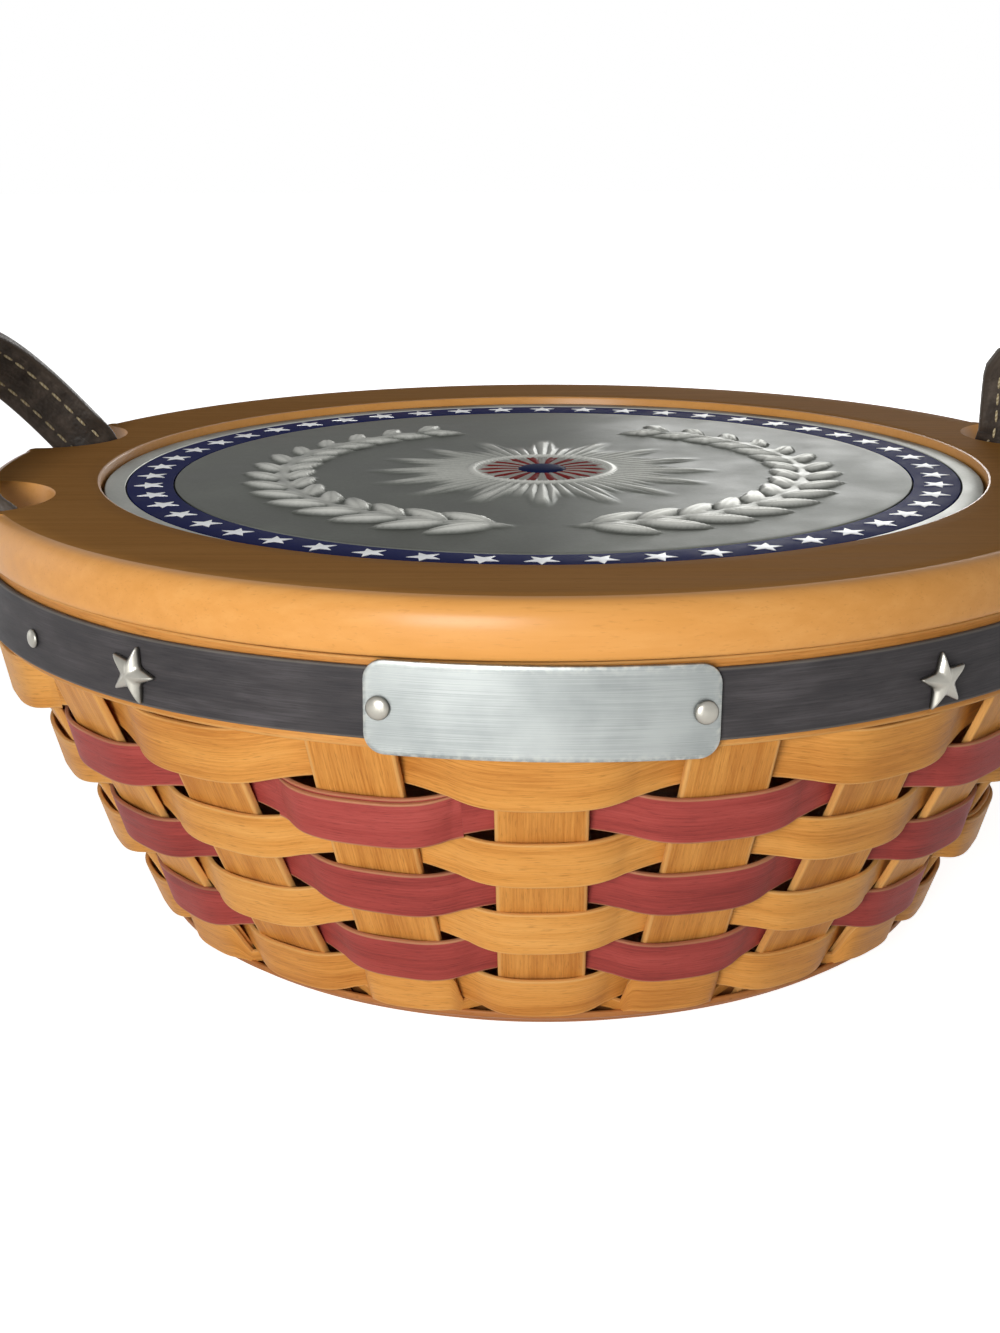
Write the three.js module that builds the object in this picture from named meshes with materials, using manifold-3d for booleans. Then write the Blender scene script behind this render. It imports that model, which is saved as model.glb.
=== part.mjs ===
// Round splint basket: a woven wall on a turned base board, a banded rim with a dark trim strip,
// a lift-off turned lid with a cast medallion, and two leather carrying handles.
// Millimetres, +Z up, origin at the centre of the base underside, front towards -Y.

import * as THREE from 'three';
import { mergeVertices } from 'three/addons/utils/BufferGeometryUtils.js';
import Module from 'manifold-3d';

const wasm = await Module();
wasm.setup();

const DEGREE = Math.PI / 180;

// Fits shared by all pieces
const CLEARANCE = 0.3;
const ROUND_SEGMENTS = 66;
const CUT_OVERSHOOT = 2;

// Base board
const BASE_THICKNESS = 8;
const BASE_FOOT_RADIUS = 75;
const BASE_EDGE_HEIGHT = 1.8;
const BASE_LIP = 1.8;
const GROOVE_DEPTH = 3;

// Uprights and the curve of the wall they follow, from the board up to the rim
const UPRIGHT_PAIRS = 11;
const UPRIGHT_WIDTH = 16.5;
const UPRIGHT_THICKNESS = 1.6;
const WALL_FOOT_RADIUS = 84;
const WALL_FOOT_SLOPE = 31 * DEGREE;
const WALL_TOP_SLOPE = 23.5 * DEGREE;
const WALL_STEPS = 4;

// Weavers: flat splints that pass outside one upright and inside the next
const WEAVER_ROWS = 7;
const WEAVER_WIDTH = 9.2;
const WEAVER_THICKNESS = 1.2;
const WEAVER_TILT = 12 * DEGREE;
const ROW_GAP = 0.5;
const BOTTOM_ROW_LIFT = 2.6;
const TOP_ROW_DROP = 1;
const TOP_ROW_RISE = 2;
const CROSSING_MARGIN = 0.8;
const CROSSING_EASE = 0.05;

// Rim bands and trim strip
const RIM_LIFT = 0.5;
const RIM_HEIGHT = 15.9;
const INNER_BAND_THICKNESS = 1.8;
const OUTER_BAND_THICKNESS = 1.5;
const UPRIGHT_TOP_DROP = 0.6;
const TRIM_HEIGHT = 12.7;
const TRIM_THICKNESS = 1.1;
const TRIM_DROP = 1.5;

// Tag plate, tacks and rivets
const PLATE_WIDTH = 60;
const PLATE_HEIGHT = 15.4;
const PLATE_CORNER = 3.7;
const PLATE_THICKNESS = 0.8;
const PLATE_RIVET_INSET = 2.8;
const PLATE_RIVET_RADIUS = 2.1;
const STAR_RADIUS = 5.8;
const STAR_WAIST = 2.4;
const STAR_EDGE = 0.6;
const STAR_PEAK = 2.4;
const LEFT_STAR = { angle: 36.4 * DEGREE, drop: 0.8, lean: -17 * DEGREE };
const RIGHT_STAR = { angle: 35 * DEGREE, drop: 1.4, lean: 7 * DEGREE };
const TACK_RADIUS = 1.8;
const TACK_DROP = 0.8;
const TACK_ANGLE = 52 * DEGREE;
const DOME_RATIO = 0.55;

// Lid board
const LID_THICKNESS = 10.4;
const LID_OVERHANG = 0.6;
const LID_TOP_INSET = 3;
const LID_FOOT_INSET = 1;
const LID_BULGE_HEIGHT = 3.6;
const PLUG_DEPTH = 4;
const PLUG_FIT = 1;
const NOTCH_RADIUS = 17;
const NOTCH_ROOM = 4.4;

// Medallion and its enamel ring
const MEDALLION_RADIUS = 95;
const MEDALLION_THICKNESS = 3;
const MEDALLION_SINK = 1.8;
const MEDALLION_GAP = 0.8;
const MEDALLION_MARGIN = 4.7;
const ENAMEL_WIDTH = 9.8;
const ENAMEL_THICKNESS = 0.7;
const BOSS_RADIUS = 15;
const BOSS_HEIGHT = 1.2;

// Leather handles
const STRAP_WIDTH = 14;
const STRAP_THICKNESS = 3;
const STRAP_END_LENGTH = 13;
const STRAP_RIVET_RADIUS = 3;
const LEG_ANGLE = 17.5 * DEGREE;
const FOOT_WIDTH = 5;
const FOOT_TAPER = 5;
const HANDLE_STEPS = 44;
const SHIFT_RISE = 9;
const LEFT_HANDLE = {
  squareness: 2.6, rise: 33, legRise: 4.5, reach: 24, crownLean: 40 * DEGREE,
  front: { shift: 7, twist: 36 }, back: { shift: 0, twist: 12 },
};
const RIGHT_HANDLE = {
  squareness: 4, rise: 35, legRise: 24, reach: 26, crownLean: 10 * DEGREE,
  front: { shift: 3, twist: 12 }, back: { shift: 3, twist: 12 },
};

// Finishes
const naturalSplint = () => finish(0xc98d4c, 0.55, 0);
const redSplint = () => finish(0x93413a, 0.6, 0);
const turnedWood = () => finish(0xd9a261, 0.45, 0);
const navyStain = () => finish(0x2c2c34, 0.7, 0);
const leather = () => finish(0x35302b, 0.6, 0);
const pewter = () => finish(0xa9a79f, 0.35, 0.9);
const brushedMetal = () => finish(0xd5d9da, 0.3, 0.9);
const navyEnamel = () => finish(0x1c2650, 0.25, 0);

function finish(color, roughness, metalness) {
  return new THREE.MeshStandardMaterial({ color, roughness, metalness });
}

const basket = new THREE.Group();

// Derived sizes of the wall
const uprightCount = 2 * UPRIGHT_PAIRS;
const uprightStep = 2 * Math.PI / uprightCount;
const frontAngle = -Math.PI / 2;
const rowPitch = WEAVER_WIDTH + ROW_GAP;
const wallLength = BOTTOM_ROW_LIFT + WEAVER_ROWS * rowPitch + TOP_ROW_DROP;
const wallBend = (WALL_TOP_SLOPE - WALL_FOOT_SLOPE) / wallLength;

// Derived sizes of the rim, from the inside out
const facetSag = (radius) => radius * (1 - Math.cos(Math.PI / ROUND_SEGMENTS));
const rimRadius = wallPoint(wallLength).radius;
const rimBottom = wallPoint(wallLength).height + RIM_LIFT;
const rimTop = rimBottom + RIM_HEIGHT;
const innerBandOuter = rimRadius - UPRIGHT_THICKNESS / 2 - CLEARANCE;
const innerBandInner = innerBandOuter - INNER_BAND_THICKNESS;
const innerBandBottom = rimBottom + TOP_ROW_RISE + CLEARANCE;
const uprightReach = Math.hypot(rimRadius + UPRIGHT_THICKNESS / 2, UPRIGHT_WIDTH / 2);
const outerBandInner = uprightReach + CLEARANCE + facetSag(uprightReach);
const outerBandOuter = outerBandInner + OUTER_BAND_THICKNESS;
const trimInner = outerBandOuter + CLEARANCE;
const trimOuter = trimInner + TRIM_THICKNESS;
const trimMiddle = rimTop - TRIM_DROP - TRIM_HEIGHT / 2;
const plateInner = trimOuter + CLEARANCE;
const plateOuter = plateInner + PLATE_THICKNESS;

// Derived sizes of the lid
const lidBottom = rimTop + CLEARANCE;
const lidTop = lidBottom + LID_THICKNESS;
const lidRadius = trimOuter + LID_OVERHANG;
const medallionTop = lidTop - MEDALLION_SINK;
const medallionBottom = medallionTop - MEDALLION_THICKNESS;
const enamelOuter = MEDALLION_RADIUS - MEDALLION_MARGIN;
const enamelInner = enamelOuter - ENAMEL_WIDTH;

// Derived sizes of the handles
const bandFace = innerBandInner - facetSag(innerBandInner) - CLEARANCE;
const strapOuterFace = Math.sqrt(bandFace ** 2 - (STRAP_WIDTH / 2) ** 2);
const strapInnerFace = strapOuterFace - STRAP_THICKNESS;
const strapRadius = strapOuterFace - STRAP_THICKNESS / 2;
const notchCentre = strapInnerFace - NOTCH_ROOM + NOTCH_RADIUS;
const footHalfDepth = FOOT_WIDTH / 2 * Math.sin(LEG_ANGLE) + STRAP_THICKNESS / 2 * Math.cos(LEG_ANGLE);
const footRound = footHalfDepth + CLEARANCE / 2;
const strapEndTop = rimTop;
const hingeHeight = strapEndTop + CLEARANCE + footRound;
const hingeReach = strapRadius * Math.cos(LEG_ANGLE);
const footSpread = strapRadius * Math.sin(LEG_ANGLE);

// Middle line of the wall at a distance along its slope, counted from the top of the base board.
function wallPoint(along) {
  if (along < 0) {
    return {
      radius: WALL_FOOT_RADIUS + along * Math.sin(WALL_FOOT_SLOPE),
      height: BASE_THICKNESS + along * Math.cos(WALL_FOOT_SLOPE),
      slope: WALL_FOOT_SLOPE,
    };
  }
  const slope = WALL_FOOT_SLOPE + wallBend * along;
  return {
    radius: WALL_FOOT_RADIUS + (Math.cos(WALL_FOOT_SLOPE) - Math.cos(slope)) / wallBend,
    height: BASE_THICKNESS + (Math.sin(slope) - Math.sin(WALL_FOOT_SLOPE)) / wallBend,
    slope,
  };
}

// A point given by its distance from the axis, a sideways shift square to that, a bearing and a height.
function placed(radius, sideways, bearing, height) {
  return new THREE.Vector3(
    radius * Math.cos(bearing) - sideways * Math.sin(bearing),
    radius * Math.sin(bearing) + sideways * Math.cos(bearing),
    height,
  );
}

// Skin over a row of sections with equal corner counts, closed into a ring or capped at both ends.
// Corners run anticlockwise when seen looking back along the row.
function skin(sections, ring) {
  const corners = sections[0].length;
  const spans = ring ? sections.length : sections.length - 1;
  const positions = sections.flat().flatMap((point) => point.toArray());
  const index = [];
  for (let row = 0; row < spans; row += 1) {
    const next = (row + 1) % sections.length;
    for (let corner = 0; corner < corners; corner += 1) {
      const beside = (corner + 1) % corners;
      const [a, b] = [row * corners + corner, row * corners + beside];
      const [c, d] = [next * corners + corner, next * corners + beside];
      index.push(a, b, d, a, d, c);
    }
  }
  if (!ring) {
    const last = (sections.length - 1) * corners;
    for (let corner = 1; corner < corners - 1; corner += 1) {
      index.push(0, corner + 1, corner, last, last + corner, last + corner + 1);
    }
  }
  const geometry = new THREE.BufferGeometry();
  geometry.setAttribute('position', new THREE.Float32BufferAttribute(positions, 3));
  geometry.setIndex(index);
  geometry.computeVertexNormals();
  return geometry;
}

// Solid of revolution about Z from radius and height pairs, listed anticlockwise.
function turned(profile, segments = ROUND_SEGMENTS) {
  const points = profile.map(([radius, height]) => new THREE.Vector2(radius, height));
  return new THREE.LatheGeometry(points, segments).rotateX(Math.PI / 2);
}

// Ring of rectangular section.
function band(inner, outer, bottom, top) {
  return turned([[inner, bottom], [outer, bottom], [outer, top], [inner, top], [inner, bottom]]);
}

// Low domed head with a flat back, standing on the XY plane.
function dome(radius) {
  const [rings, sides] = [3, 12];
  const profile = [[0, 0], [radius, 0]];
  for (let ring = 1; ring <= rings; ring += 1) {
    const rise = ring / rings * Math.PI / 2;
    profile.push([ring === rings ? 0 : radius * Math.cos(rise), radius * DOME_RATIO * Math.sin(rise)]);
  }
  return turned(profile, sides);
}

// Stands a piece built on the XY plane against the rim, with its Y up and its Z facing outward or inward.
function hang(mesh, radius, bearing, height, inward = false) {
  const facing = new THREE.Group();
  facing.position.copy(placed(radius, 0, bearing, height));
  facing.rotation.set(0, 0, bearing + (inward ? Math.PI : 0));
  mesh.quaternion.setFromAxisAngle(new THREE.Vector3(1, 1, 1).normalize(), 2 * Math.PI / 3);
  facing.add(mesh);
  basket.add(facing);
}

function toSolid(geometry) {
  const bare = geometry.clone();
  bare.deleteAttribute('normal');
  bare.deleteAttribute('uv');
  const welded = mergeVertices(bare, 1e-4);
  const triangles = [];
  const source = welded.index.array;
  for (let at = 0; at < source.length; at += 3) {
    const [a, b, c] = [source[at], source[at + 1], source[at + 2]];
    if (a !== b && b !== c && c !== a) triangles.push(a, b, c);
  }
  return new wasm.Manifold(new wasm.Mesh({
    numProp: 3,
    vertProperties: new Float32Array(welded.attributes.position.array),
    triVerts: new Uint32Array(triangles),
  }));
}

function toGeometry(solid) {
  const mesh = solid.getMesh();
  const geometry = new THREE.BufferGeometry();
  geometry.setAttribute('position', new THREE.Float32BufferAttribute(mesh.vertProperties, 3));
  geometry.setIndex(Array.from(mesh.triVerts));
  geometry.computeVertexNormals();
  return geometry;
}

function add(name, geometry, material) {
  const mesh = new THREE.Mesh(geometry, material);
  mesh.name = name;
  basket.add(mesh);
  return mesh;
}

const numbered = (stem, number) => `${stem}_${String(number).padStart(2, '0')}`;

// Base board: a disc with a broad chamfer below and a sloping groove that takes the feet of the uprights.
function baseBoard() {
  const lean = Math.cos(WALL_FOOT_SLOPE);
  const halfGroove = UPRIGHT_THICKNESS / 2 + CLEARANCE;
  const uprightEdge = Math.hypot(WALL_FOOT_RADIUS + UPRIGHT_THICKNESS / 2 / lean, UPRIGHT_WIDTH / 2);
  const grooveOuter = uprightEdge + CLEARANCE / lean + facetSag(uprightEdge);
  const grooveInner = WALL_FOOT_RADIUS - halfGroove / lean;
  const drop = GROOVE_DEPTH * lean + UPRIGHT_THICKNESS / 2 * Math.sin(WALL_FOOT_SLOPE) + CLEARANCE;
  const shift = drop * Math.tan(WALL_FOOT_SLOPE);
  const edge = grooveOuter + BASE_LIP;
  return turned([
    [0, 0],
    [BASE_FOOT_RADIUS, 0],
    [edge, BASE_THICKNESS - BASE_EDGE_HEIGHT],
    [edge, BASE_THICKNESS],
    [grooveOuter, BASE_THICKNESS],
    [grooveOuter - shift, BASE_THICKNESS - drop],
    [grooveInner - shift, BASE_THICKNESS - drop],
    [grooveInner, BASE_THICKNESS],
    [0, BASE_THICKNESS],
  ]);
}

// Upright: a flat splint that rises from the groove, follows the wall and stands straight in the rim.
function upright(bearing) {
  const stations = [wallPoint(-GROOVE_DEPTH)];
  for (let step = 0; step < WALL_STEPS; step += 1) stations.push(wallPoint(wallLength * step / WALL_STEPS));
  stations.push({ radius: rimRadius, height: wallPoint(wallLength).height, slope: WALL_TOP_SLOPE / 2 });
  stations.push({ radius: rimRadius, height: rimTop - UPRIGHT_TOP_DROP, slope: 0 });
  const [half, side] = [UPRIGHT_THICKNESS / 2, UPRIGHT_WIDTH / 2];
  return skin(stations.map(({ radius, height, slope }) => {
    const corner = (out, across) => placed(
      radius + out * Math.cos(slope), across, bearing, height - out * Math.sin(slope));
    return [corner(-half, -side), corner(half, -side), corner(half, side), corner(-half, side)];
  }), false);
}

// Weaver: a closed round, flat across each upright and swinging through the wall in the gaps between.
// The top round is wider, so that it is tucked up under the outer rim band.
function weaver(row, outsideFirst) {
  const { radius, height, slope } = wallPoint(BOTTOM_ROW_LIFT + (row + 0.5) * rowPitch);
  const lean = slope - WEAVER_TILT;
  const side = UPRIGHT_WIDTH / 2 + CROSSING_MARGIN;
  const below = WEAVER_WIDTH / 2;
  const above = below + (row === WEAVER_ROWS - 1 ? TOP_ROW_RISE : 0);
  const thick = WEAVER_THICKNESS / 2;
  const clearSwing = UPRIGHT_THICKNESS / 2 + CLEARANCE
    + above * Math.sin(WEAVER_TILT) + thick * Math.cos(WEAVER_TILT);
  const section = (swing, sideways, bearing) => {
    const centre = radius + swing * Math.cos(slope);
    const middle = height - swing * Math.sin(slope);
    const corner = (up, out) => placed(
      centre + up * Math.sin(lean) + out * Math.cos(lean), sideways, bearing,
      middle + up * Math.cos(lean) - out * Math.sin(lean));
    return [corner(-below, -thick), corner(above, -thick), corner(above, thick), corner(-below, thick)];
  };
  const sections = [];
  for (let post = 0; post < uprightCount; post += 1) {
    const swing = (post % 2 === 0) === outsideFirst ? clearSwing : -clearSwing;
    const bearing = frontAngle + post * uprightStep;
    sections.push(section(swing, -side, bearing), section(swing, side, bearing));
    const reach = radius + swing * Math.cos(slope);
    const leave = Math.atan2(side, reach);
    const arrive = uprightStep - Math.atan2(side, radius - swing * Math.cos(slope));
    for (const share of [1 / 3, 2 / 3]) {
      const eased = share - CROSSING_EASE * Math.sin(2 * Math.PI * share);
      const turn = leave + (arrive - leave) * share;
      sections.push(section(swing * (1 - 2 * eased), 0, bearing + turn));
    }
  }
  return skin(sections, true);
}

// Tag plate: a thin plate with round corners, bent to the curve of the trim.
function tagPlate() {
  const flat = PLATE_WIDTH / 2 - PLATE_CORNER;
  const [cornerSteps, flatSteps] = [4, 10];
  const across = [];
  for (let step = 0; step <= cornerSteps; step += 1) {
    across.push(-flat - PLATE_CORNER * Math.cos(step / cornerSteps * Math.PI / 2));
  }
  for (let step = 1; step < flatSteps; step += 1) across.push(-flat + 2 * flat * step / flatSteps);
  for (let step = cornerSteps; step >= 0; step -= 1) {
    across.push(flat + PLATE_CORNER * Math.cos(step / cornerSteps * Math.PI / 2));
  }
  return skin(across.map((distance) => {
    const past = Math.max(0, Math.abs(distance) - flat);
    const half = PLATE_HEIGHT / 2 - PLATE_CORNER + Math.sqrt(Math.max(0, PLATE_CORNER ** 2 - past ** 2));
    const bearing = frontAngle + distance / plateInner;
    const corner = (radius, up) => placed(radius, 0, bearing, trimMiddle + up);
    return [corner(plateInner, -half), corner(plateInner, half),
      corner(plateOuter, half), corner(plateOuter, -half)];
  }), false);
}

// Star tack: a five-pointed star with a thin edge and ridges that rise to a peak, driven in at a lean.
function starTack(lean) {
  const points = 5;
  const outline = [];
  for (let tip = 0; tip < 2 * points; tip += 1) {
    const radius = tip % 2 === 0 ? STAR_RADIUS : STAR_WAIST;
    const turn = Math.PI / 2 + lean + tip * Math.PI / points;
    outline.push([radius * Math.cos(turn), radius * Math.sin(turn)]);
  }
  const level = (height) => outline.map(([x, y]) => new THREE.Vector3(x, y, height));
  const middle = (height) => new THREE.Vector3(0, 0, height);
  const body = [...level(0), ...level(STAR_EDGE), middle(0), middle(STAR_PEAK)];
  const [foot, peak] = [4 * points, 4 * points + 1];
  const index = [];
  for (let at = 0; at < 2 * points; at += 1) {
    const next = (at + 1) % (2 * points);
    const [upper, upperNext] = [at + 2 * points, next + 2 * points];
    index.push(foot, next, at, at, next, upperNext, at, upperNext, upper, upper, upperNext, peak);
  }
  const geometry = new THREE.BufferGeometry();
  geometry.setAttribute('position', new THREE.Float32BufferAttribute(body.flatMap((p) => p.toArray()), 3));
  geometry.setIndex(index);
  geometry.computeVertexNormals();
  return geometry;
}

// Lid board: a turned disc with a swelling side, a recess above, a plug below and a notch for each strap.
function lidBoard() {
  const swellSteps = 3;
  const swell = new THREE.Path();
  swell.moveTo(lidRadius - LID_FOOT_INSET, lidBottom);
  swell.quadraticCurveTo(lidRadius, lidBottom, lidRadius, lidBottom + LID_BULGE_HEIGHT);
  swell.quadraticCurveTo(lidRadius, lidTop - LID_FOOT_INSET, lidRadius - LID_TOP_INSET, lidTop);
  const recess = MEDALLION_RADIUS + MEDALLION_GAP;
  const plug = innerBandInner - PLUG_FIT;
  const board = turned([
    [0, lidBottom - PLUG_DEPTH],
    [plug, lidBottom - PLUG_DEPTH],
    [plug, lidBottom],
    ...swell.getPoints(swellSteps).map((point) => point.toArray()),
    [recess, lidTop],
    [recess, medallionBottom - CLEARANCE],
    [0, medallionBottom - CLEARANCE],
  ]);
  const cutSides = 40;
  const cutHeight = LID_THICKNESS + PLUG_DEPTH + CUT_OVERSHOOT;
  const cutMiddle = (lidTop + lidBottom - PLUG_DEPTH) / 2;
  let solid = toSolid(board);
  for (const side of [0, Math.PI]) {
    for (const turn of [-LEG_ANGLE, LEG_ANGLE]) {
      const cutter = new THREE.CylinderGeometry(NOTCH_RADIUS, NOTCH_RADIUS, cutHeight, cutSides);
      cutter.rotateX(Math.PI / 2);
      const centre = placed(notchCentre, 0, side + turn, cutMiddle);
      solid = solid.subtract(toSolid(cutter.translate(...centre.toArray())));
    }
  }
  return toGeometry(solid);
}

// Medallion: a disc with a raised centre and a ring groove for the enamel.
function medallion() {
  const groove = medallionTop - ENAMEL_THICKNESS - CLEARANCE;
  return turned([
    [0, medallionBottom],
    [MEDALLION_RADIUS, medallionBottom],
    [MEDALLION_RADIUS, medallionTop],
    [enamelOuter + CLEARANCE, medallionTop],
    [enamelOuter + CLEARANCE, groove],
    [enamelInner - CLEARANCE, groove],
    [enamelInner - CLEARANCE, medallionTop],
    [BOSS_RADIUS, medallionTop],
    [BOSS_RADIUS - BOSS_HEIGHT, medallionTop + BOSS_HEIGHT],
    [0, medallionTop + BOSS_HEIGHT],
  ]);
}

// Strap end: a tongue with a round tip that lies flat inside the rim.
function strapEnd() {
  const half = STRAP_WIDTH / 2;
  const tongue = new THREE.Shape();
  tongue.moveTo(-half, 0);
  tongue.lineTo(-half, half - STRAP_END_LENGTH);
  tongue.absarc(0, half - STRAP_END_LENGTH, half, Math.PI, 2 * Math.PI, false);
  tongue.lineTo(half, 0);
  return new THREE.ExtrudeGeometry(tongue, { depth: STRAP_THICKNESS, bevelEnabled: false });
}

// Handle: a strap on two tapered feet that turns its edge outward above them and arches over as a U.
// Built beside the hinge line: x outward from it, y along it, z up. The feet end on a round about the line.
function handleLoop({ squareness, rise, legRise, reach, crownLean }, firstLeg, lastLeg) {
  const { lerp, smoothstep } = THREE.MathUtils;
  const power = 2 / squareness;
  const point = (turn) => {
    const spread = footSpread * Math.sign(Math.cos(turn)) * Math.abs(Math.cos(turn)) ** power;
    const height = rise * Math.sin(turn) ** power;
    const bend = Math.max(0, height - legRise) / (rise - legRise);
    const { shift } = turn < Math.PI / 2 ? firstLeg : lastLeg;
    const out = shift * smoothstep(height, 0, SHIFT_RISE) + (reach - shift) * bend;
    return new THREE.Vector3(out, spread, height);
  };
  const route = new THREE.CatmullRomCurve3();
  const marks = 24;
  for (let mark = 0; mark <= marks; mark += 1) route.points.push(point(Math.PI * mark / marks));
  const crown = new THREE.Vector3(-Math.cos(crownLean), 0, Math.sin(crownLean));
  const length = route.getLength();
  const sections = [];
  for (let step = 0; step <= HANDLE_STEPS; step += 1) {
    const share = step / HANDLE_STEPS;
    const foot = step === 0 || step === HANDLE_STEPS;
    const end = share < 0.5 ? 1 : -1;
    const fromFoot = length * Math.min(share, 1 - share);
    const centre = route.getPointAt(share);
    const along = foot ? new THREE.Vector3(0, 0, end) : route.getTangentAt(share);
    const flat = new THREE.Vector3(-Math.sin(LEG_ANGLE), end * Math.cos(LEG_ANGLE), 0);
    const { twist } = share < 0.5 ? firstLeg : lastLeg;
    const turn = Math.PI / 2 * smoothstep(fromFoot, 0, twist);
    const across = flat.multiplyScalar(Math.cos(turn)).addScaledVector(crown, Math.sin(turn));
    across.addScaledVector(along, -across.dot(along)).normalize();
    const face = new THREE.Vector3().crossVectors(along, across);
    const width = lerp(FOOT_WIDTH, STRAP_WIDTH, Math.min(1, fromFoot / FOOT_TAPER));
    const corner = (wide, thick) => centre.clone()
      .addScaledVector(across, wide * width / 2).addScaledVector(face, thick * STRAP_THICKNESS / 2);
    const section = [corner(-1, -1), corner(1, -1), corner(1, 1), corner(-1, 1)];
    if (foot) section.forEach((spot) => spot.setZ(-Math.sqrt(footRound ** 2 - spot.x ** 2)));
    sections.push(section);
  }
  return skin(sections, false);
}

// The woven wall on its board
add('base_board', baseBoard(), turnedWood());
for (let post = 0; post < uprightCount; post += 1) {
  add(numbered('upright', post + 1), upright(frontAngle + post * uprightStep), naturalSplint());
}
for (let row = 0; row < WEAVER_ROWS; row += 1) {
  const natural = row % 2 === 0;
  const name = numbered(natural ? 'natural_weaver' : 'red_weaver', Math.floor(row / 2) + 1);
  add(name, weaver(row, natural), natural ? naturalSplint() : redSplint());
}

// The rim with its trim, plate and tacks
add('rim_inner_band', band(innerBandInner, innerBandOuter, innerBandBottom, rimTop), naturalSplint());
add('rim_outer_band', band(outerBandInner, outerBandOuter, rimBottom, rimTop), naturalSplint());
const trimEdges = [trimMiddle - TRIM_HEIGHT / 2, trimMiddle + TRIM_HEIGHT / 2];
add('trim_strip', band(trimInner, trimOuter, ...trimEdges), navyStain());
add('tag_plate', tagPlate(), brushedMetal());
for (const [side, turn, place] of [['left', -1, LEFT_STAR], ['right', 1, RIGHT_STAR]]) {
  const rivet = add(`plate_rivet_${side}`, dome(PLATE_RIVET_RADIUS), pewter());
  const rivetTurn = (PLATE_WIDTH / 2 - PLATE_RIVET_INSET) / plateInner;
  hang(rivet, plateOuter + CLEARANCE, frontAngle + turn * rivetTurn, trimMiddle);
  const star = add(`star_tack_${side}`, starTack(place.lean), pewter());
  hang(star, trimOuter + CLEARANCE, frontAngle + turn * place.angle, trimMiddle - place.drop);
  for (const [face, bearing] of [['front', frontAngle], ['back', -frontAngle]]) {
    const tack = add(`round_tack_${face}_${side}`, dome(TACK_RADIUS), pewter());
    const tackTurn = face === 'front' ? turn * TACK_ANGLE : -turn * TACK_ANGLE;
    hang(tack, trimOuter + CLEARANCE, bearing + tackTurn, trimMiddle - TACK_DROP);
  }
}

// The lid
add('lid_board', lidBoard(), turnedWood());
add('lid_medallion', medallion(), pewter());
const enamelBottom = medallionTop - ENAMEL_THICKNESS;
add('medallion_enamel_ring', band(enamelInner, enamelOuter, enamelBottom, medallionTop), navyEnamel());

// The handles and their riveted ends
for (const [side, facing, shape] of [['left', Math.PI, LEFT_HANDLE], ['right', 0, RIGHT_HANDLE]]) {
  const legs = side === 'left' ? [shape.front, shape.back] : [shape.back, shape.front];
  const loop = add(`handle_${side}`, handleLoop(shape, ...legs), leather());
  loop.position.set(hingeReach * Math.cos(facing), 0, hingeHeight);
  loop.rotation.set(0, 0, facing);
  for (const [face, turn] of [['front', -LEG_ANGLE], ['back', LEG_ANGLE]]) {
    const bearing = side === 'left' ? facing - turn : facing + turn;
    const end = add(`strap_end_${side}_${face}`, strapEnd(), leather());
    hang(end, strapOuterFace, bearing, strapEndTop, true);
    const rivet = add(`strap_rivet_${side}_${face}`, dome(STRAP_RIVET_RADIUS), pewter());
    const rivetHeight = strapEndTop - STRAP_END_LENGTH + STRAP_WIDTH / 2;
    hang(rivet, strapInnerFace - CLEARANCE, bearing, rivetHeight, true);
  }
}

export default basket;
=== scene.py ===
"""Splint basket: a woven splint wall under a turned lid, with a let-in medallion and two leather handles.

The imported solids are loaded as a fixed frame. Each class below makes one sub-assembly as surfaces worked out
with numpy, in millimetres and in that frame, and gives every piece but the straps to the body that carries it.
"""
from __future__ import annotations

import logging
from dataclasses import dataclass, field, replace
from enum import Enum
from functools import reduce
from typing import Sequence

import bmesh
import bpy
import numpy as np
from mathutils import Matrix

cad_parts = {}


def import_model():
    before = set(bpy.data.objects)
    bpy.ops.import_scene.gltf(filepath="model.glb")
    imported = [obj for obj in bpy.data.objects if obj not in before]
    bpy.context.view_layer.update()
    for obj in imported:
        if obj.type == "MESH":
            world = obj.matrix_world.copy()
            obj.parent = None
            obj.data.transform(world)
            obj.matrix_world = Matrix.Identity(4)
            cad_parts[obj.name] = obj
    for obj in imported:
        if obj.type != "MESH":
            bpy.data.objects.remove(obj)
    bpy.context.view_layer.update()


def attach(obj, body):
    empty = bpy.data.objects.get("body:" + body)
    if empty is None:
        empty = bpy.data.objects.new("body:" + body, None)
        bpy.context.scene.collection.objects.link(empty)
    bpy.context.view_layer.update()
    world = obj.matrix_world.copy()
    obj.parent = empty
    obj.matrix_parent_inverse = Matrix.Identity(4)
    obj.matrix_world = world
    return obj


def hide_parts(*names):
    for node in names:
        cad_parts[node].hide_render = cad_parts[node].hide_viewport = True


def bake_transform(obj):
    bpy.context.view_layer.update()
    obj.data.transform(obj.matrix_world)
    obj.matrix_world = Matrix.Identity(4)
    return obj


LOG = logging.getLogger("splint_basket")

MM = 0.001
FRONT = -np.pi / 2
UP = np.array([0.0, 0.0, 1.0])
WELD_GAP = 2e-6
CREASE = np.radians(38)
WAVE_PERIOD = 0.314

# Strips start here and there on a sheet of this size, in millimetres, so no two share their grain.
GRAIN_LENGTH = 900.0
GRAIN_WIDTH = 90.0


class Body(Enum):
    """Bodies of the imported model."""

    BASKET = "basket"
    LID = "lid"
    LEFT = "handle_left"
    RIGHT = "handle_right"


class Slot(Enum):
    """Material slots of the record."""

    WOOD = "turned_wood"
    NATURAL = "natural_splint"
    RED = "red_splint"
    NAVY = "navy_stain"
    LEATHER = "leather"
    PEWTER = "pewter"
    PLATE = "brushed_metal"
    ENAMEL = "navy_enamel"


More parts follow.
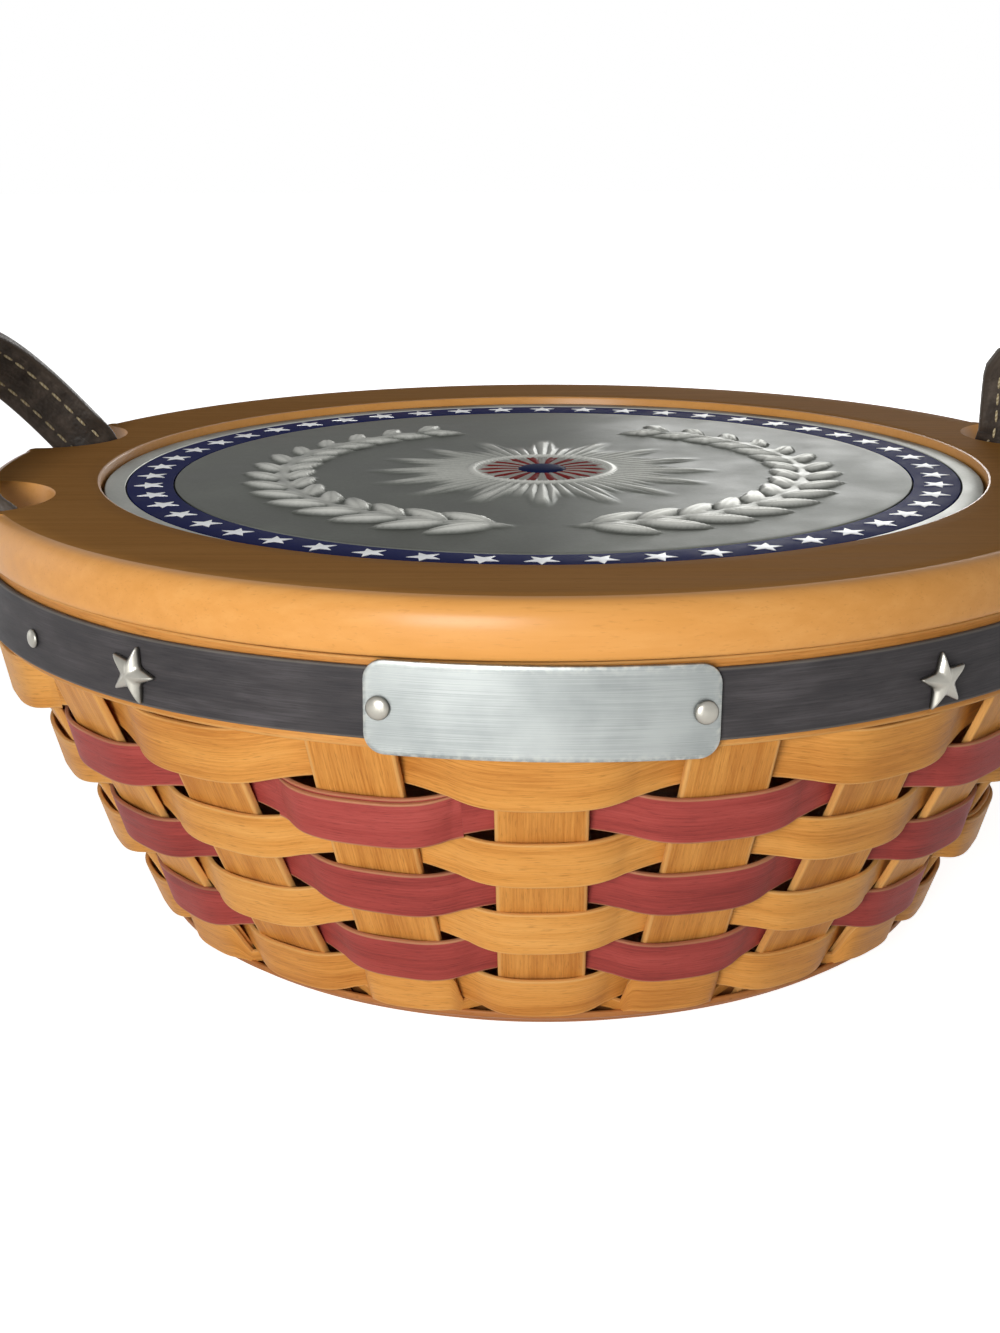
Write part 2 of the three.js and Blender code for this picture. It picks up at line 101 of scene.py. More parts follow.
def linear(colour: str) -> tuple[float, float, float, float]:
    """Turns an sRGB hex value into a linear colour.

    Args:
        colour: A hash and six hex digits.

    Returns:
        Red, green, blue and alpha.
    """
    srgb = np.array([int(colour[at:at + 2], 16) for at in (1, 3, 5)]) / 255
    value = np.where(srgb <= 0.04045, srgb / 12.92, ((srgb + 0.055) / 1.055) ** 2.4)
    return (*value.tolist(), 1.0)


def add(tree: bpy.types.NodeTree, kind: str, settings: dict | None = None,
        inputs: dict | None = None) -> bpy.types.Node:
    """Adds a shader node with its settings, and fills its inputs with values or links.

    Args:
        tree: The node tree.
        kind: The node's type without its ShaderNode prefix.
        settings: The node's own properties; ramp lists a colour ramp's places and hex colours.
        inputs: Values, sockets, or nodes for their first live output, by the input's name or number.

    Returns:
        The node.
    """
    node = tree.nodes.new(f"ShaderNode{kind}")
    for name, value in (settings or {}).items():
        if name == "ramp":
            stops = node.color_ramp.elements
            while len(stops) < len(value):
                stops.new(1.0)
            for stop, (place, colour) in zip(stops, value):
                stop.position = place
                stop.color = linear(colour)
        else:
            setattr(node, name, value)
    for name, value in (inputs or {}).items():
        if isinstance(value, bpy.types.Node):
            value = next(output for output in value.outputs if output.enabled)
        if isinstance(value, bpy.types.NodeSocket):
            tree.links.new(value, node.inputs[name])
        else:
            node.inputs[name].default_value = value
    return node


def blank_tree(owner: bpy.types.Material | bpy.types.World) -> bpy.types.NodeTree:
    """Gives a material or a world an empty node tree."""
    owner.use_nodes = True
    owner.node_tree.nodes.clear()
    return owner.node_tree


def streaks(tree: bpy.types.NodeTree, place: bpy.types.Node | bpy.types.NodeSocket, size: Sequence[float],
            detail: float, roughness: float = 0.5) -> bpy.types.Node:
    """Lays a noise that is stretched along one direction, as wood fibres and brush lines are.

    Args:
        tree: The node tree.
        place: The coordinates to read.
        size: Size of a streak along each axis, in the coordinates' own unit.
        detail: How many finer layers it has.
        roughness: How strong they are.

    Returns:
        The noise's node, whose value runs from 0 to 1.
    """
    spread = add(tree, "Mapping", {}, {"Vector": place, "Scale": tuple(1 / length for length in size)})
    return add(tree, "TexNoise", {}, {
        "Vector": spread, "Scale": 1.0, "Detail": detail, "Roughness": roughness})


def shown_rays(tree: bpy.types.NodeTree) -> bpy.types.Node:
    """Tells the rays that are seen, mirrored or refracted from those that only carry light.

    Args:
        tree: The node tree.

    Returns:
        The node whose value is 1 for the former and 0 for the latter.
    """
    path = add(tree, "LightPath").outputs
    shown = path["Is Camera Ray"]
    for kind in ("Is Glossy Ray", "Is Transmission Ray"):
        shown = add(tree, "Math", {"operation": "MAXIMUM"}, {0: shown, 1: path[kind]})
    return shown


# Finishes

@dataclass(frozen=True)
class Finish:
    """A surface finish: the common name of the material, from which its shader is made once."""

    name: str

    def material(self) -> bpy.types.Material:
        """Finds the finish's material, or makes it.

        Returns:
            The material.
        """
        found = bpy.data.materials.get(self.name)
        if found:
            return found
        made = bpy.data.materials.new(self.name)
        tree = blank_tree(made)
        add(tree, "OutputMaterial", {}, {"Surface": self.shade(tree)})
        return made

    def shade(self, tree: bpy.types.NodeTree) -> bpy.types.Node:
        """Builds the shader of the finish.

        Args:
            tree: The material's node tree.

        Returns:
            The surface shader's node.
        """
        raise NotImplementedError


@dataclass(frozen=True)
class MapleSplint(Finish):
    """Maple splint, sliced with the grain, stained and varnished: long fibres, short pores, raw edges."""

    dark: str
    body: str
    light: str
    pore: str
    raw: str
    pore_share: float = 0.45
    raw_share: float = 0.75
    roughness: float = 0.48
    specular: float = 0.18
    fibre: tuple[float, float] = (15.0, 0.42)
    cloud: tuple[float, float] = (46.0, 5.0)
    pores: tuple[float, float] = (3.4, 0.24)

    def shade(self, tree: bpy.types.NodeTree) -> bpy.types.Node:
        """Lays fibres, clouds and pores along the strip's flat map, and bares its cut edges.

        Args:
            tree: The material's node tree.

        Returns:
            The surface shader's node.
        """
        flat = add(tree, "UVMap", {"uv_map": "flat"})
        fibre, cloud, pore = (
            streaks(tree, flat, (*size, 1.0), detail, 0.62)
            for size, detail in ((self.fibre, 5.0), (self.cloud, 2.0), (self.pores, 2.0)))
        tone = add(tree, "Attribute", {"attribute_name": "tone"}).outputs["Fac"]
        both = add(tree, "Math", {"operation": "MULTIPLY_ADD"}, {0: fibre, 1: 0.36, 2: tone})
        grain = add(tree, "Math", {"operation": "MULTIPLY_ADD"}, {0: cloud, 1: 0.4, 2: both})
        stain = add(tree, "ValToRGB", {
            "ramp": [(0.25, self.dark), (0.38, self.body), (0.52, self.light)]}, {"Fac": grain})
        fleck = add(tree, "MapRange", {}, {
            "Value": pore, "From Min": 0.56, "From Max": 0.72, "To Max": self.pore_share})
        flecked = add(tree, "Mix", {"data_type": "RGBA"}, {0: fleck, 6: stain, 7: linear(self.pore)})
        edge = add(tree, "Attribute", {"attribute_name": "edge"}).outputs["Fac"]
        worn = add(tree, "MapRange", {}, {
            "Value": cloud, "From Min": 0.3, "From Max": 0.6, "To Min": 0.35, "To Max": self.raw_share})
        bare = add(tree, "Math", {"operation": "MULTIPLY"}, {0: edge, 1: worn})
        colour = add(tree, "Mix", {"data_type": "RGBA"}, {0: bare, 6: flecked, 7: linear(self.raw)})
        gloss = add(tree, "MapRange", {}, {
            "Value": fibre, "From Min": 0.3, "From Max": 0.7,
            "To Min": self.roughness - 0.06, "To Max": self.roughness + 0.1})
        relief = add(tree, "Math", {"operation": "MULTIPLY_ADD"}, {0: pore, 1: -0.6, 2: fibre})
        bump = add(tree, "Bump", {}, {"Height": relief, "Strength": 0.32, "Distance": 0.25 * MM})
        return add(tree, "BsdfPrincipled", {}, {
            "Base Color": colour, "Roughness": gloss, "Normal": bump,
            "Specular IOR Level": self.specular, "IOR": 1.5})


@dataclass(frozen=True)
class TurnedMaple(Finish):
    """Hard maple, turned, sanded and varnished: straight grain along X, fine flecks and a soft sheen."""

    dark: str
    body: str
    light: str
    fleck: str
    gloss: float
    specular: float
    coat: float = 0.0
    grain: tuple[float, float] = (85.0, 2.4)
    figure: tuple[float, float] = (55.0, 13.0)
    flecks: tuple[float, float] = (4.2, 0.42)

    def shade(self, tree: bpy.types.NodeTree) -> bpy.types.Node:
        """Runs grain, figure and flecks through the board along its length.

        Args:
            tree: The material's node tree.

        Returns:
            The surface shader's node.
        """
        place = add(tree, "TexCoord").outputs["Object"]
        grain, figure, fleck = (
            streaks(tree, place, (length * MM, width * MM, width * MM), detail, 0.58)
            for (length, width), detail in ((self.grain, 4.0), (self.figure, 2.0), (self.flecks, 2.0)))
        cloudy = add(tree, "Math", {"operation": "MULTIPLY"}, {0: figure, 1: 0.25})
        both = add(tree, "Math", {"operation": "MULTIPLY_ADD"}, {0: grain, 1: 0.5, 2: cloudy})
        stain = add(tree, "ValToRGB", {
            "ramp": [(0.24, self.dark), (0.375, self.body), (0.51, self.light)]}, {"Fac": both})
        spot = add(tree, "MapRange", {}, {"Value": fleck, "From Min": 0.6, "From Max": 0.74, "To Max": 0.4})
        colour = add(tree, "Mix", {"data_type": "RGBA"}, {0: spot, 6: stain, 7: linear(self.fleck)})
        gloss = add(tree, "MapRange", {}, {
            "Value": grain, "From Min": 0.3, "From Max": 0.7,
            "To Min": self.gloss, "To Max": self.gloss + 0.12})
        bump = add(tree, "Bump", {}, {"Height": grain, "Strength": 0.1, "Distance": 0.2 * MM})
        return add(tree, "BsdfPrincipled", {}, {
            "Base Color": colour, "Roughness": gloss, "Normal": bump,
            "Specular IOR Level": self.specular, "IOR": 1.5,
            "Coat Weight": self.coat, "Coat Roughness": 0.25})


@dataclass(frozen=True)
class WaxedLeather(Finish):
    """Vegetable-tanned strap leather, dyed and waxed: pebbled grain, rubbed patches, burnished edges."""

    dye: str
    deep: str
    rubbed: str
    edge: str
    pebble: float = 0.9
    patch: float = 7.0
    scuff: tuple[float, float] = (6.0, 0.5)

    def shade(self, tree: bpy.types.NodeTree) -> bpy.types.Node:
        """Pebbles the strap along its flat map and rubs the dye off in patches.

        Args:
            tree: The material's node tree.

        Returns:
            The surface shader's node.
        """
        flat = add(tree, "UVMap", {"uv_map": "flat"})
        patch = add(tree, "TexNoise", {}, {
            "Vector": flat, "Scale": 1 / self.patch, "Detail": 5.0, "Roughness": 0.65})
        pebble = add(tree, "TexVoronoi", {"feature": "SMOOTH_F1"}, {
            "Vector": flat, "Scale": 1 / self.pebble, "Smoothness": 0.4})
        scuffs = streaks(tree, flat, (*self.scuff, 1.0), 3.0)
        dyed = add(tree, "ValToRGB", {
            "ramp": [(0.34, self.deep), (0.5, self.dye), (0.68, self.rubbed)]}, {"Fac": patch})
        rub = add(tree, "MapRange", {}, {
            "Value": scuffs, "From Min": 0.58, "From Max": 0.74, "To Max": 0.4})
        scuffed = add(tree, "Mix", {"data_type": "RGBA"}, {0: rub, 6: dyed, 7: linear(self.rubbed)})
        rim = add(tree, "Attribute", {"attribute_name": "edge"}).outputs["Fac"]
        colour = add(tree, "Mix", {"data_type": "RGBA"}, {0: rim, 6: scuffed, 7: linear(self.edge)})
        gloss = add(tree, "MapRange", {}, {
            "Value": patch, "From Min": 0.3, "From Max": 0.7, "To Min": 0.42, "To Max": 0.62})
        bump = add(tree, "Bump", {}, {"Height": pebble, "Strength": 0.35, "Distance": 0.3 * MM})
        return add(tree, "BsdfPrincipled", {}, {
            "Base Color": colour, "Roughness": gloss, "Normal": bump,
            "Sheen Weight": 0.08, "Specular IOR Level": 0.26, "IOR": 1.48})


@dataclass(frozen=True)
class WaxedThread(Finish):
    """Waxed linen thread, twisted: a soft tan cord with slanting strands and painted shade in the grooves
    between them.
    """

    colour: str
    groove: str
    twist: float = 0.5

    def shade(self, tree: bpy.types.NodeTree) -> bpy.types.Node:
        """Slants strands across each stitch's flat map, with painted shade in the grooves between them.

        Args:
            tree: The material's node tree.

        Returns:
            The surface shader's node.
        """
        flat = add(tree, "UVMap", {"uv_map": "flat"})
        # A wave texture at scale 1 repeats every WAVE_PERIOD units.
        strands = add(tree, "TexWave", {"bands_direction": "DIAGONAL"}, {
            "Vector": flat, "Scale": WAVE_PERIOD / self.twist, "Distortion": 0.6})
        # The groove colour is painted shade: it darkens the low parts of the twist, where the bump sinks.
        colour = add(tree, "Mix", {"data_type": "RGBA"}, {
            0: strands.outputs["Fac"], 6: linear(self.groove), 7: linear(self.colour)})
        bump = add(tree, "Bump", {}, {
            "Height": strands.outputs["Fac"], "Strength": 0.4, "Distance": 0.1 * MM})
        return add(tree, "BsdfPrincipled", {}, {"Base Color": colour, "Roughness": 0.7, "Normal": bump})


@dataclass(frozen=True)
class BrushedAluminium(Finish):
    """Aluminium sheet, brushed along its length: pale fine lines, dull clouds, edges chipped bright."""

    colour: str
    dull: str
    chip: str
    line: tuple[float, float] = (26.0, 0.16)
    cloud: float = 14.0
    chip_size: float = 1.3

    def shade(self, tree: bpy.types.NodeTree) -> bpy.types.Node:
        """Brushes fine lines along the sheet's flat map and chips its rim.

        Args:
            tree: The material's node tree.

        Returns:
            The surface shader's node.
        """
        flat = add(tree, "UVMap", {"uv_map": "flat"})
        lines = streaks(tree, flat, (*self.line, 1.0), 3.0)
        cloud = add(tree, "TexNoise", {}, {"Vector": flat, "Scale": 1 / self.cloud, "Detail": 4.0})
        half = add(tree, "Math", {"operation": "MULTIPLY"}, {0: lines, 1: 0.5})
        veil = add(tree, "Math", {"operation": "MULTIPLY_ADD"}, {0: cloud, 1: 0.5, 2: half})
        sheet = add(tree, "ValToRGB", {"ramp": [(0.38, self.dull), (0.6, self.colour)]}, {"Fac": veil})
        chips = add(tree, "TexNoise", {}, {"Vector": flat, "Scale": 1 / self.chip_size, "Detail": 4.0})
        rim = add(tree, "Attribute", {"attribute_name": "edge"}).outputs["Fac"]
        chipped = add(tree, "MapRange", {}, {
            "Value": chips, "From Min": 0.44, "From Max": 0.64, "To Max": 0.6})
        worn = add(tree, "Math", {"operation": "MULTIPLY"}, {0: rim, 1: chipped})
        colour = add(tree, "Mix", {"data_type": "RGBA"}, {0: worn, 6: sheet, 7: linear(self.chip)})
        gloss = add(tree, "MapRange", {}, {
            "Value": veil, "From Min": 0.35, "From Max": 0.65, "To Min": 0.34, "To Max": 0.5})
        bump = add(tree, "Bump", {}, {"Height": lines, "Strength": 0.12, "Distance": 0.05 * MM})
        return add(tree, "BsdfPrincipled", {}, {
            "Base Color": colour, "Metallic": 0.85, "Roughness": gloss, "Normal": bump})


@dataclass(frozen=True)
class CastPewter(Finish):
    """Pewter, cast and rubbed back: dark in the hollows, bright where a cloth reaches, lightly pitted.

    Its grazing value dims the mirror at low angles, where a dull skin on the metal scatters the light.
    """

    hollow: str
    plain: str
    bright: str
    roughness: float
    grazing: float = 1.0
    pit: float = 0.7
    smear: float = 16.0

    def shade(self, tree: bpy.types.NodeTree) -> bpy.types.Node:
        """Brightens the metal with the height that the piece gives as its relief value.

        Args:
            tree: The material's node tree.

        Returns:
            The surface shader's node.
        """
        place = add(tree, "TexCoord").outputs["Object"]
        pits = add(tree, "TexNoise", {}, {"Vector": place, "Scale": 1 / (self.pit * MM), "Detail": 3.0})
        smear = add(tree, "TexNoise", {}, {"Vector": place, "Scale": 1 / (self.smear * MM), "Detail": 4.0})
        height = add(tree, "Attribute", {"attribute_name": "relief"}).outputs["Fac"]
        cloth = add(tree, "Math", {"operation": "MULTIPLY_ADD"}, {0: smear, 1: 0.24, 2: -0.12})
        rubbed = add(tree, "Math", {"operation": "ADD"}, {0: height, 1: cloth})
        grainy = add(tree, "Math", {"operation": "MULTIPLY_ADD"}, {0: pits, 1: 0.16, 2: rubbed})
        metal = add(tree, "ValToRGB", {
            "ramp": [(0.0, self.hollow), (0.3, self.plain), (0.9, self.bright)]}, {"Fac": grainy})
        gloss = add(tree, "MapRange", {}, {
            "Value": smear, "From Min": 0.3, "From Max": 0.7,
            "To Min": self.roughness - 0.05, "To Max": self.roughness + 0.09})
        bump = add(tree, "Bump", {}, {"Height": pits, "Strength": 0.12, "Distance": 0.12 * MM})
        return add(tree, "BsdfPrincipled", {}, {
            "Base Color": metal, "Metallic": 1.0, "Roughness": gloss,
            "Normal": bump, "Specular Tint": (self.grazing, self.grazing, self.grazing, 1.0)})


@dataclass(frozen=True)
class GlassEnamel(Finish):
    """Glass enamel, fired in a cast cell and stoned flat: an even, faintly clouded colour with no glare."""

    ground: str
    cloud: str
    cloud_size: float = 5.0
    red: str = "#a5322f"
    navy: str = "#1f2a55"

    def shade(self, tree: bpy.types.NodeTree) -> bpy.types.Node:
        """Clouds the ground colour and lays red and navy where the piece's values ask for them.

        Args:
            tree: The material's node tree.

        Returns:
            The surface shader's node.
        """
        place = add(tree, "TexCoord").outputs["Object"]
        cloud = add(tree, "TexNoise", {}, {
            "Vector": place, "Scale": 1 / (self.cloud_size * MM), "Detail": 4.0})
        colour = add(tree, "Mix", {"data_type": "RGBA"}, {
            0: cloud, 6: linear(self.ground), 7: linear(self.cloud)})
        for value, tint in (("red", self.red), ("navy", self.navy)):
            share = add(tree, "Attribute", {"attribute_name": value}).outputs["Fac"]
            colour = add(tree, "Mix", {"data_type": "RGBA"}, {0: share, 6: colour, 7: linear(tint)})
        gloss = add(tree, "MapRange", {}, {
            "Value": cloud, "From Min": 0.3, "From Max": 0.7, "To Min": 0.4, "To Max": 0.5})
        return add(tree, "BsdfPrincipled", {}, {
            "Base Color": colour, "Roughness": gloss, "Specular IOR Level": 0.003})


NATURAL_SPLINT = MapleSplint(
    "maple_splint_natural", "#b97631", "#d69548", "#e3a65a", "#7d4a1c", "#d9a765")
BROWN_SPLINT = MapleSplint("maple_splint_hoop", "#ad6f2e", "#cb8a45", "#dea25a", "#78471c", "#cf9c5a")
RED_SPLINT = MapleSplint(
    "maple_splint_red_stain", "#7d2f2b", "#9e413b", "#b05049", "#561f20", "#b98a62",
    pore_share=0.5, roughness=0.55, specular=0.2)
NAVY_SPLINT = MapleSplint(
    "maple_splint_navy_stain", "#312f31", "#403d3e", "#565254", "#232224", "#7d766c",
    pore_share=0.4, raw_share=0.45, roughness=0.62, specular=0.2, cloud=(18.0, 5.0))
LID_MAPLE = TurnedMaple(
    "maple_turned_varnished", "#da984c", "#df9d52", "#e4a45a", "#c18341", 0.36, 0.10, 0.25)
# The deck's colours are the varnished side's, darkened as painted shade for the board's top, where the lamps
# only graze; its matt, low-gloss finish is real.
SHADED_DECK_MAPLE = TurnedMaple("maple_turned_rubbed_shaded", "#b98143", "#c48a4a", "#cd9453", "#9b6932", 0.74, 0.02)
BASE_MAPLE = TurnedMaple("maple_turned_base", "#96592a", "#a86b36", "#b97c46", "#744619", 0.5, 0.3)
STRAP_LEATHER = WaxedLeather("leather_waxed_strap", "#453d36", "#312b26", "#665b51", "#4a4037")
STITCH_THREAD = WaxedThread("linen_thread_waxed", "#d4c7a4", "#a4926c")
PLATE_METAL = BrushedAluminium("aluminium_brushed_plate", "#9fa3a1", "#858a89", "#c6c5bd")
STUD_METAL = CastPewter("pewter_polished_studs", "#45443f", "#7b7972", "#a9a69d", 0.3)
MEDAL_METAL = CastPewter("pewter_antiqued_medallion", "#4f504b", "#737570", "#d6d6cf", 0.34, 0.4)
STAR_METAL = CastPewter("nickel_silver_stars", "#a9acae", "#d2d4d6", "#e6e7e7", 0.42, 0.45)
NAVY_ENAMEL = GlassEnamel("glass_enamel_navy", "#262b62", "#303773")
COCKADE_ENAMEL = GlassEnamel("glass_enamel_cockade", "#d9d6cc", "#e8e6de")


# Surfaces

@dataclass
class Patch:
    """One or more alike grids of points in millimetres, with the flat map and values that the finish reads.

    Rows and columns that meet at a seam or a pole repeat the same points, and make_piece welds them.
    """

    points: np.ndarray
    finish: Finish
    flat: np.ndarray | None = None
    values: dict[str, np.ndarray] = field(default_factory=dict)

    def faces(self) -> np.ndarray:
        """Lists the four corners of each cell of the grids.

        Returns:
            Point numbers, four to a face.
        """
        *copies, rows, columns, _ = self.points.shape
        at = np.arange(rows * columns).reshape(rows, columns)
        cell = np.stack([at[:-1, :-1], at[1:, :-1], at[1:, 1:], at[:-1, 1:]], axis=-1).reshape(-1, 4)
        start = np.arange(int(np.prod(copies, dtype=int)))[:, None, None] * rows * columns
        return (cell + start).reshape(-1, 4)

    def flat_rows(self) -> np.ndarray:
        """Gives one place on the flat map per point, nought where the patch has no such map."""
        count = self.points.size // 3
        return np.zeros((count, 2)) if self.flat is None else self.flat.reshape(count, 2)

    def spread(self, name: str) -> np.ndarray:
        """Gives one value per point, nought where the patch has no such value."""
        return np.broadcast_to(self.values.get(name, 0.0), self.points.shape[:-1]).ravel()


def make_piece(name: str, patches: Sequence[Patch], crease: float = CREASE) -> bpy.types.Object:
    """Joins patches into one welded mesh object with a material slot for each finish.

    Args:
        name: The piece's name.
        patches: Its surfaces.
        crease: Edges that turn by more than this angle stay sharp.

    Returns:
        The object, at the origin.
    """
    finishes = list(dict.fromkeys(patch.finish for patch in patches))
    names = sorted({value for patch in patches for value in patch.values})
    faces, numbers, start = [], [], 0
    for patch in patches:
        cells = patch.faces()
        faces.append(cells + start)
        numbers.append(np.full(len(cells), finishes.index(patch.finish)))
        start += patch.points.size // 3
    corners = np.concatenate(faces)
    points = np.concatenate([patch.points.reshape(-1, 3) for patch in patches]) * MM
    flats = np.concatenate([patch.flat_rows() for patch in patches])
    mesh = bpy.data.meshes.new(name)
    mesh.vertices.add(len(points))
    mesh.vertices.foreach_set("co", points.astype(np.float32).ravel())
    mesh.loops.add(corners.size)
    mesh.loops.foreach_set("vertex_index", corners.astype(np.int32).ravel())
    mesh.polygons.add(len(corners))
    mesh.polygons.foreach_set("loop_start", np.arange(0, corners.size, 4, dtype=np.int32))
    mesh.polygons.foreach_set("material_index", np.concatenate(numbers).astype(np.int32))
    layer = mesh.uv_layers.new(name="flat")
    layer.data.foreach_set("uv", flats[corners.ravel()].astype(np.float32).ravel())
    for value in names:
        held = np.concatenate([patch.spread(value) for patch in patches])
        mesh.attributes.new(value, "FLOAT", "POINT").data.foreach_set("value", held.astype(np.float32))
    for finish in finishes:
        mesh.materials.append(finish.material())
    mesh.update(calc_edges=True)
    weld(mesh)
    mesh.polygons.foreach_set("use_smooth", np.ones(len(mesh.polygons), dtype=bool))
    mesh.set_sharp_from_angle(angle=crease)
    return show(name, mesh)


def show(name: str, data: bpy.types.ID) -> bpy.types.Object:
    """Puts a new object with the given data into the scene."""
    thing = bpy.data.objects.new(name, data)
    bpy.context.scene.collection.objects.link(thing)
    return thing


def stand(thing: bpy.types.Object, axes: Sequence[np.ndarray], place: Sequence[float]) -> None:
    """Stands a lamp or a camera in its place.

    Args:
        thing: The lamp or camera.
        axes: Unit vectors for its own X, Y and Z.
        place: Its place in metres.
    """
    frame = np.eye(4)
    frame[:3, :3] = np.stack(axes, axis=1)
    frame[:3, 3] = place
    thing.matrix_world = Matrix(frame.tolist())


def weld(mesh: bpy.types.Mesh) -> None:
    """Merges points that coincide, drops faces without area and turns all faces outward.

    Args:
        mesh: The mesh to close.
    """
    work = bmesh.new()
    work.from_mesh(mesh)
    bmesh.ops.remove_doubles(work, verts=work.verts, dist=WELD_GAP)
    bmesh.ops.dissolve_degenerate(work, edges=work.edges, dist=WELD_GAP / 2)
    bmesh.ops.recalc_face_normals(work, faces=work.faces)
    work.to_mesh(mesh)
    work.free()


def mount(piece: bpy.types.Object, body: Body, slot: Slot, *nodes: str) -> None:
    """Gives a piece to the body that carries it, in place of the solids it stands for.

    Args:
        piece: The piece.
        body: The body it moves with.
        slot: The record's slot for its finish; not used.
        nodes: The solids it replaces.
    """
    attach(piece, body.value)
    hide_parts(*nodes)
    LOG.info("%s rides on %s for %s", piece.name, body.value, ", ".join(nodes))


def smoothstep(value: np.ndarray | float, low: float, high: float) -> np.ndarray:
    """Rises smoothly from 0 at low to 1 at high: 3 t squared less 2 t cubed."""
    share = np.clip((np.asarray(value, dtype=float) - low) / (high - low), 0, 1)
    return share * share * (3 - 2 * share)


def unit(vectors: np.ndarray) -> np.ndarray:
    """Scales vectors to length 1."""
    return vectors / np.linalg.norm(vectors, axis=-1, keepdims=True)


def half_round(offset: np.ndarray) -> np.ndarray:
    """Gives a half circle's height over its middle, nought beyond an offset of 1."""
    return np.sqrt(np.clip(1 - offset ** 2, 0, 1))


def around(bearing: np.ndarray | float) -> np.ndarray:
    """Gives level unit vectors that point outward at the bearings."""
    turn = np.asarray(bearing, dtype=float)
    return np.stack([np.cos(turn), np.sin(turn), np.zeros_like(turn)], axis=-1)


def star_corners(point: float, waist: float, start: float = 0.0) -> np.ndarray:
    """Lists the corners of a five-pointed star, its points and waists in turn."""
    corner = np.arange(10)
    radius = np.where(corner % 2 == 0, point, waist)
    return radius[:, None] * around(start + corner * np.pi / 5)[:, :2]


def both_halves(half: np.ndarray) -> np.ndarray:
    """Closes an outline that is the same when turned by half a turn, from the first half of its points."""
    return np.concatenate([half, -half, half[:1]])


def travel(points: np.ndarray) -> np.ndarray:
    """Gives the distance covered along a row of points, from nought at the first."""
    steps = np.linalg.norm(np.diff(points, axis=0), axis=-1)
    return np.concatenate([[0.0], np.cumsum(steps)])


def sampled(places: np.ndarray, along: np.ndarray, vectors: np.ndarray) -> np.ndarray:
    """Reads vectors that are known along a path at other distances along it, straight between neighbours."""
    return np.stack([np.interp(places, along, axis) for axis in vectors.T], axis=-1)


def drawn_tone(rng: np.random.Generator, limits: tuple[float, float]) -> dict[str, np.ndarray]:
    """Draws how light one strip's stain is."""
    return {"tone": np.full((1, 1), rng.uniform(*limits))}


def wander(bearing: np.ndarray, rng: np.random.Generator, size: float) -> np.ndarray:
    """Gives a gentle closed wave: sines of 3 to 13 turns in random phase, falling off with their number.

    Args:
        bearing: Bearings round the basket.
        rng: Source of the phases.
        size: Rough height of the wave.

    Returns:
        The wave at each bearing.
    """
    turns = np.arange(3, 14)
    phase = rng.uniform(0, 2 * np.pi, len(turns))
    waves = np.sin(bearing[..., None] * turns + phase) / np.sqrt(turns)
    usual = 1.3
    return size * waves.sum(axis=-1) / usual


def quadratic(first: np.ndarray, hand: np.ndarray, last: np.ndarray, steps: int) -> np.ndarray:
    """Draws curves pulled towards a hand: the weights are (1 - t) squared, 2 t (1 - t) and t squared.

    Args:
        first: First point of each curve.
        hand: The point that pulls it.
        last: Its last point.
        steps: Spans of each curve.

    Returns:
        The points of each curve.
    """
    share = np.linspace(0, 1, steps + 1)[:, None]
    first, hand, last = (np.asarray(place)[..., None, :] for place in (first, hand, last))
    return (1 - share) ** 2 * first + 2 * share * (1 - share) * hand + share ** 2 * last


def eased(outline: Sequence[Sequence[float]], cut: float, steps: int = 4,
          closed: bool = False) -> np.ndarray:
    """Rounds the corners of an outline with short quadratic curves.

    Each starts and ends at the cut distance from its corner, or at under half the shorter side there.

    Args:
        outline: Corners in order.
        cut: Distance from a corner at which its curve starts.
        steps: Spans of each curve.
        closed: Whether the last corner joins the first.

    Returns:
        Points along the rounded outline, the first repeated at the end of a closed one.
    """
    corners = np.array(outline, dtype=float)
    back, ahead = (np.roll(corners, way, axis=0) - corners for way in (1, -1))
    room = np.minimum(np.linalg.norm(back, axis=1), np.linalg.norm(ahead, axis=1))
    reach = np.minimum(cut, 0.45 * room)[:, None]
    curves = quadratic(corners + reach * unit(back), corners, corners + reach * unit(ahead), steps)
    if closed:
        path = curves.reshape(-1, 2)
        return np.concatenate([path, path[:1]])
    return np.concatenate([corners[:1], curves[1:-1].reshape(-1, 2), corners[-1:]])


def turned(profile: np.ndarray, finish: Finish, samples: int = 288,
           values: dict[str, np.ndarray] | None = None) -> Patch:
    """Turns a profile about the upright axis: radius times the bearing's direction, and height.

    Args:
        profile: Radius and height pairs.
        finish: The surface's finish.
        samples: Spans round the axis.
        values: Values along the profile that the finish reads.

    Returns:
        The turned surface.
    """
    bearing = np.linspace(0, 2 * np.pi, samples + 1)
    points = profile[:, None, :1] * around(bearing) + profile[:, None, 1:] * UP
    spread = {name: held[:, None] for name, held in (values or {}).items()}
    girth = bearing * profile[:, 0].max()
    flat = np.stack(np.broadcast_arrays(girth, travel(profile)[:, None]), axis=-1)
    return Patch(points, finish, flat, spread)


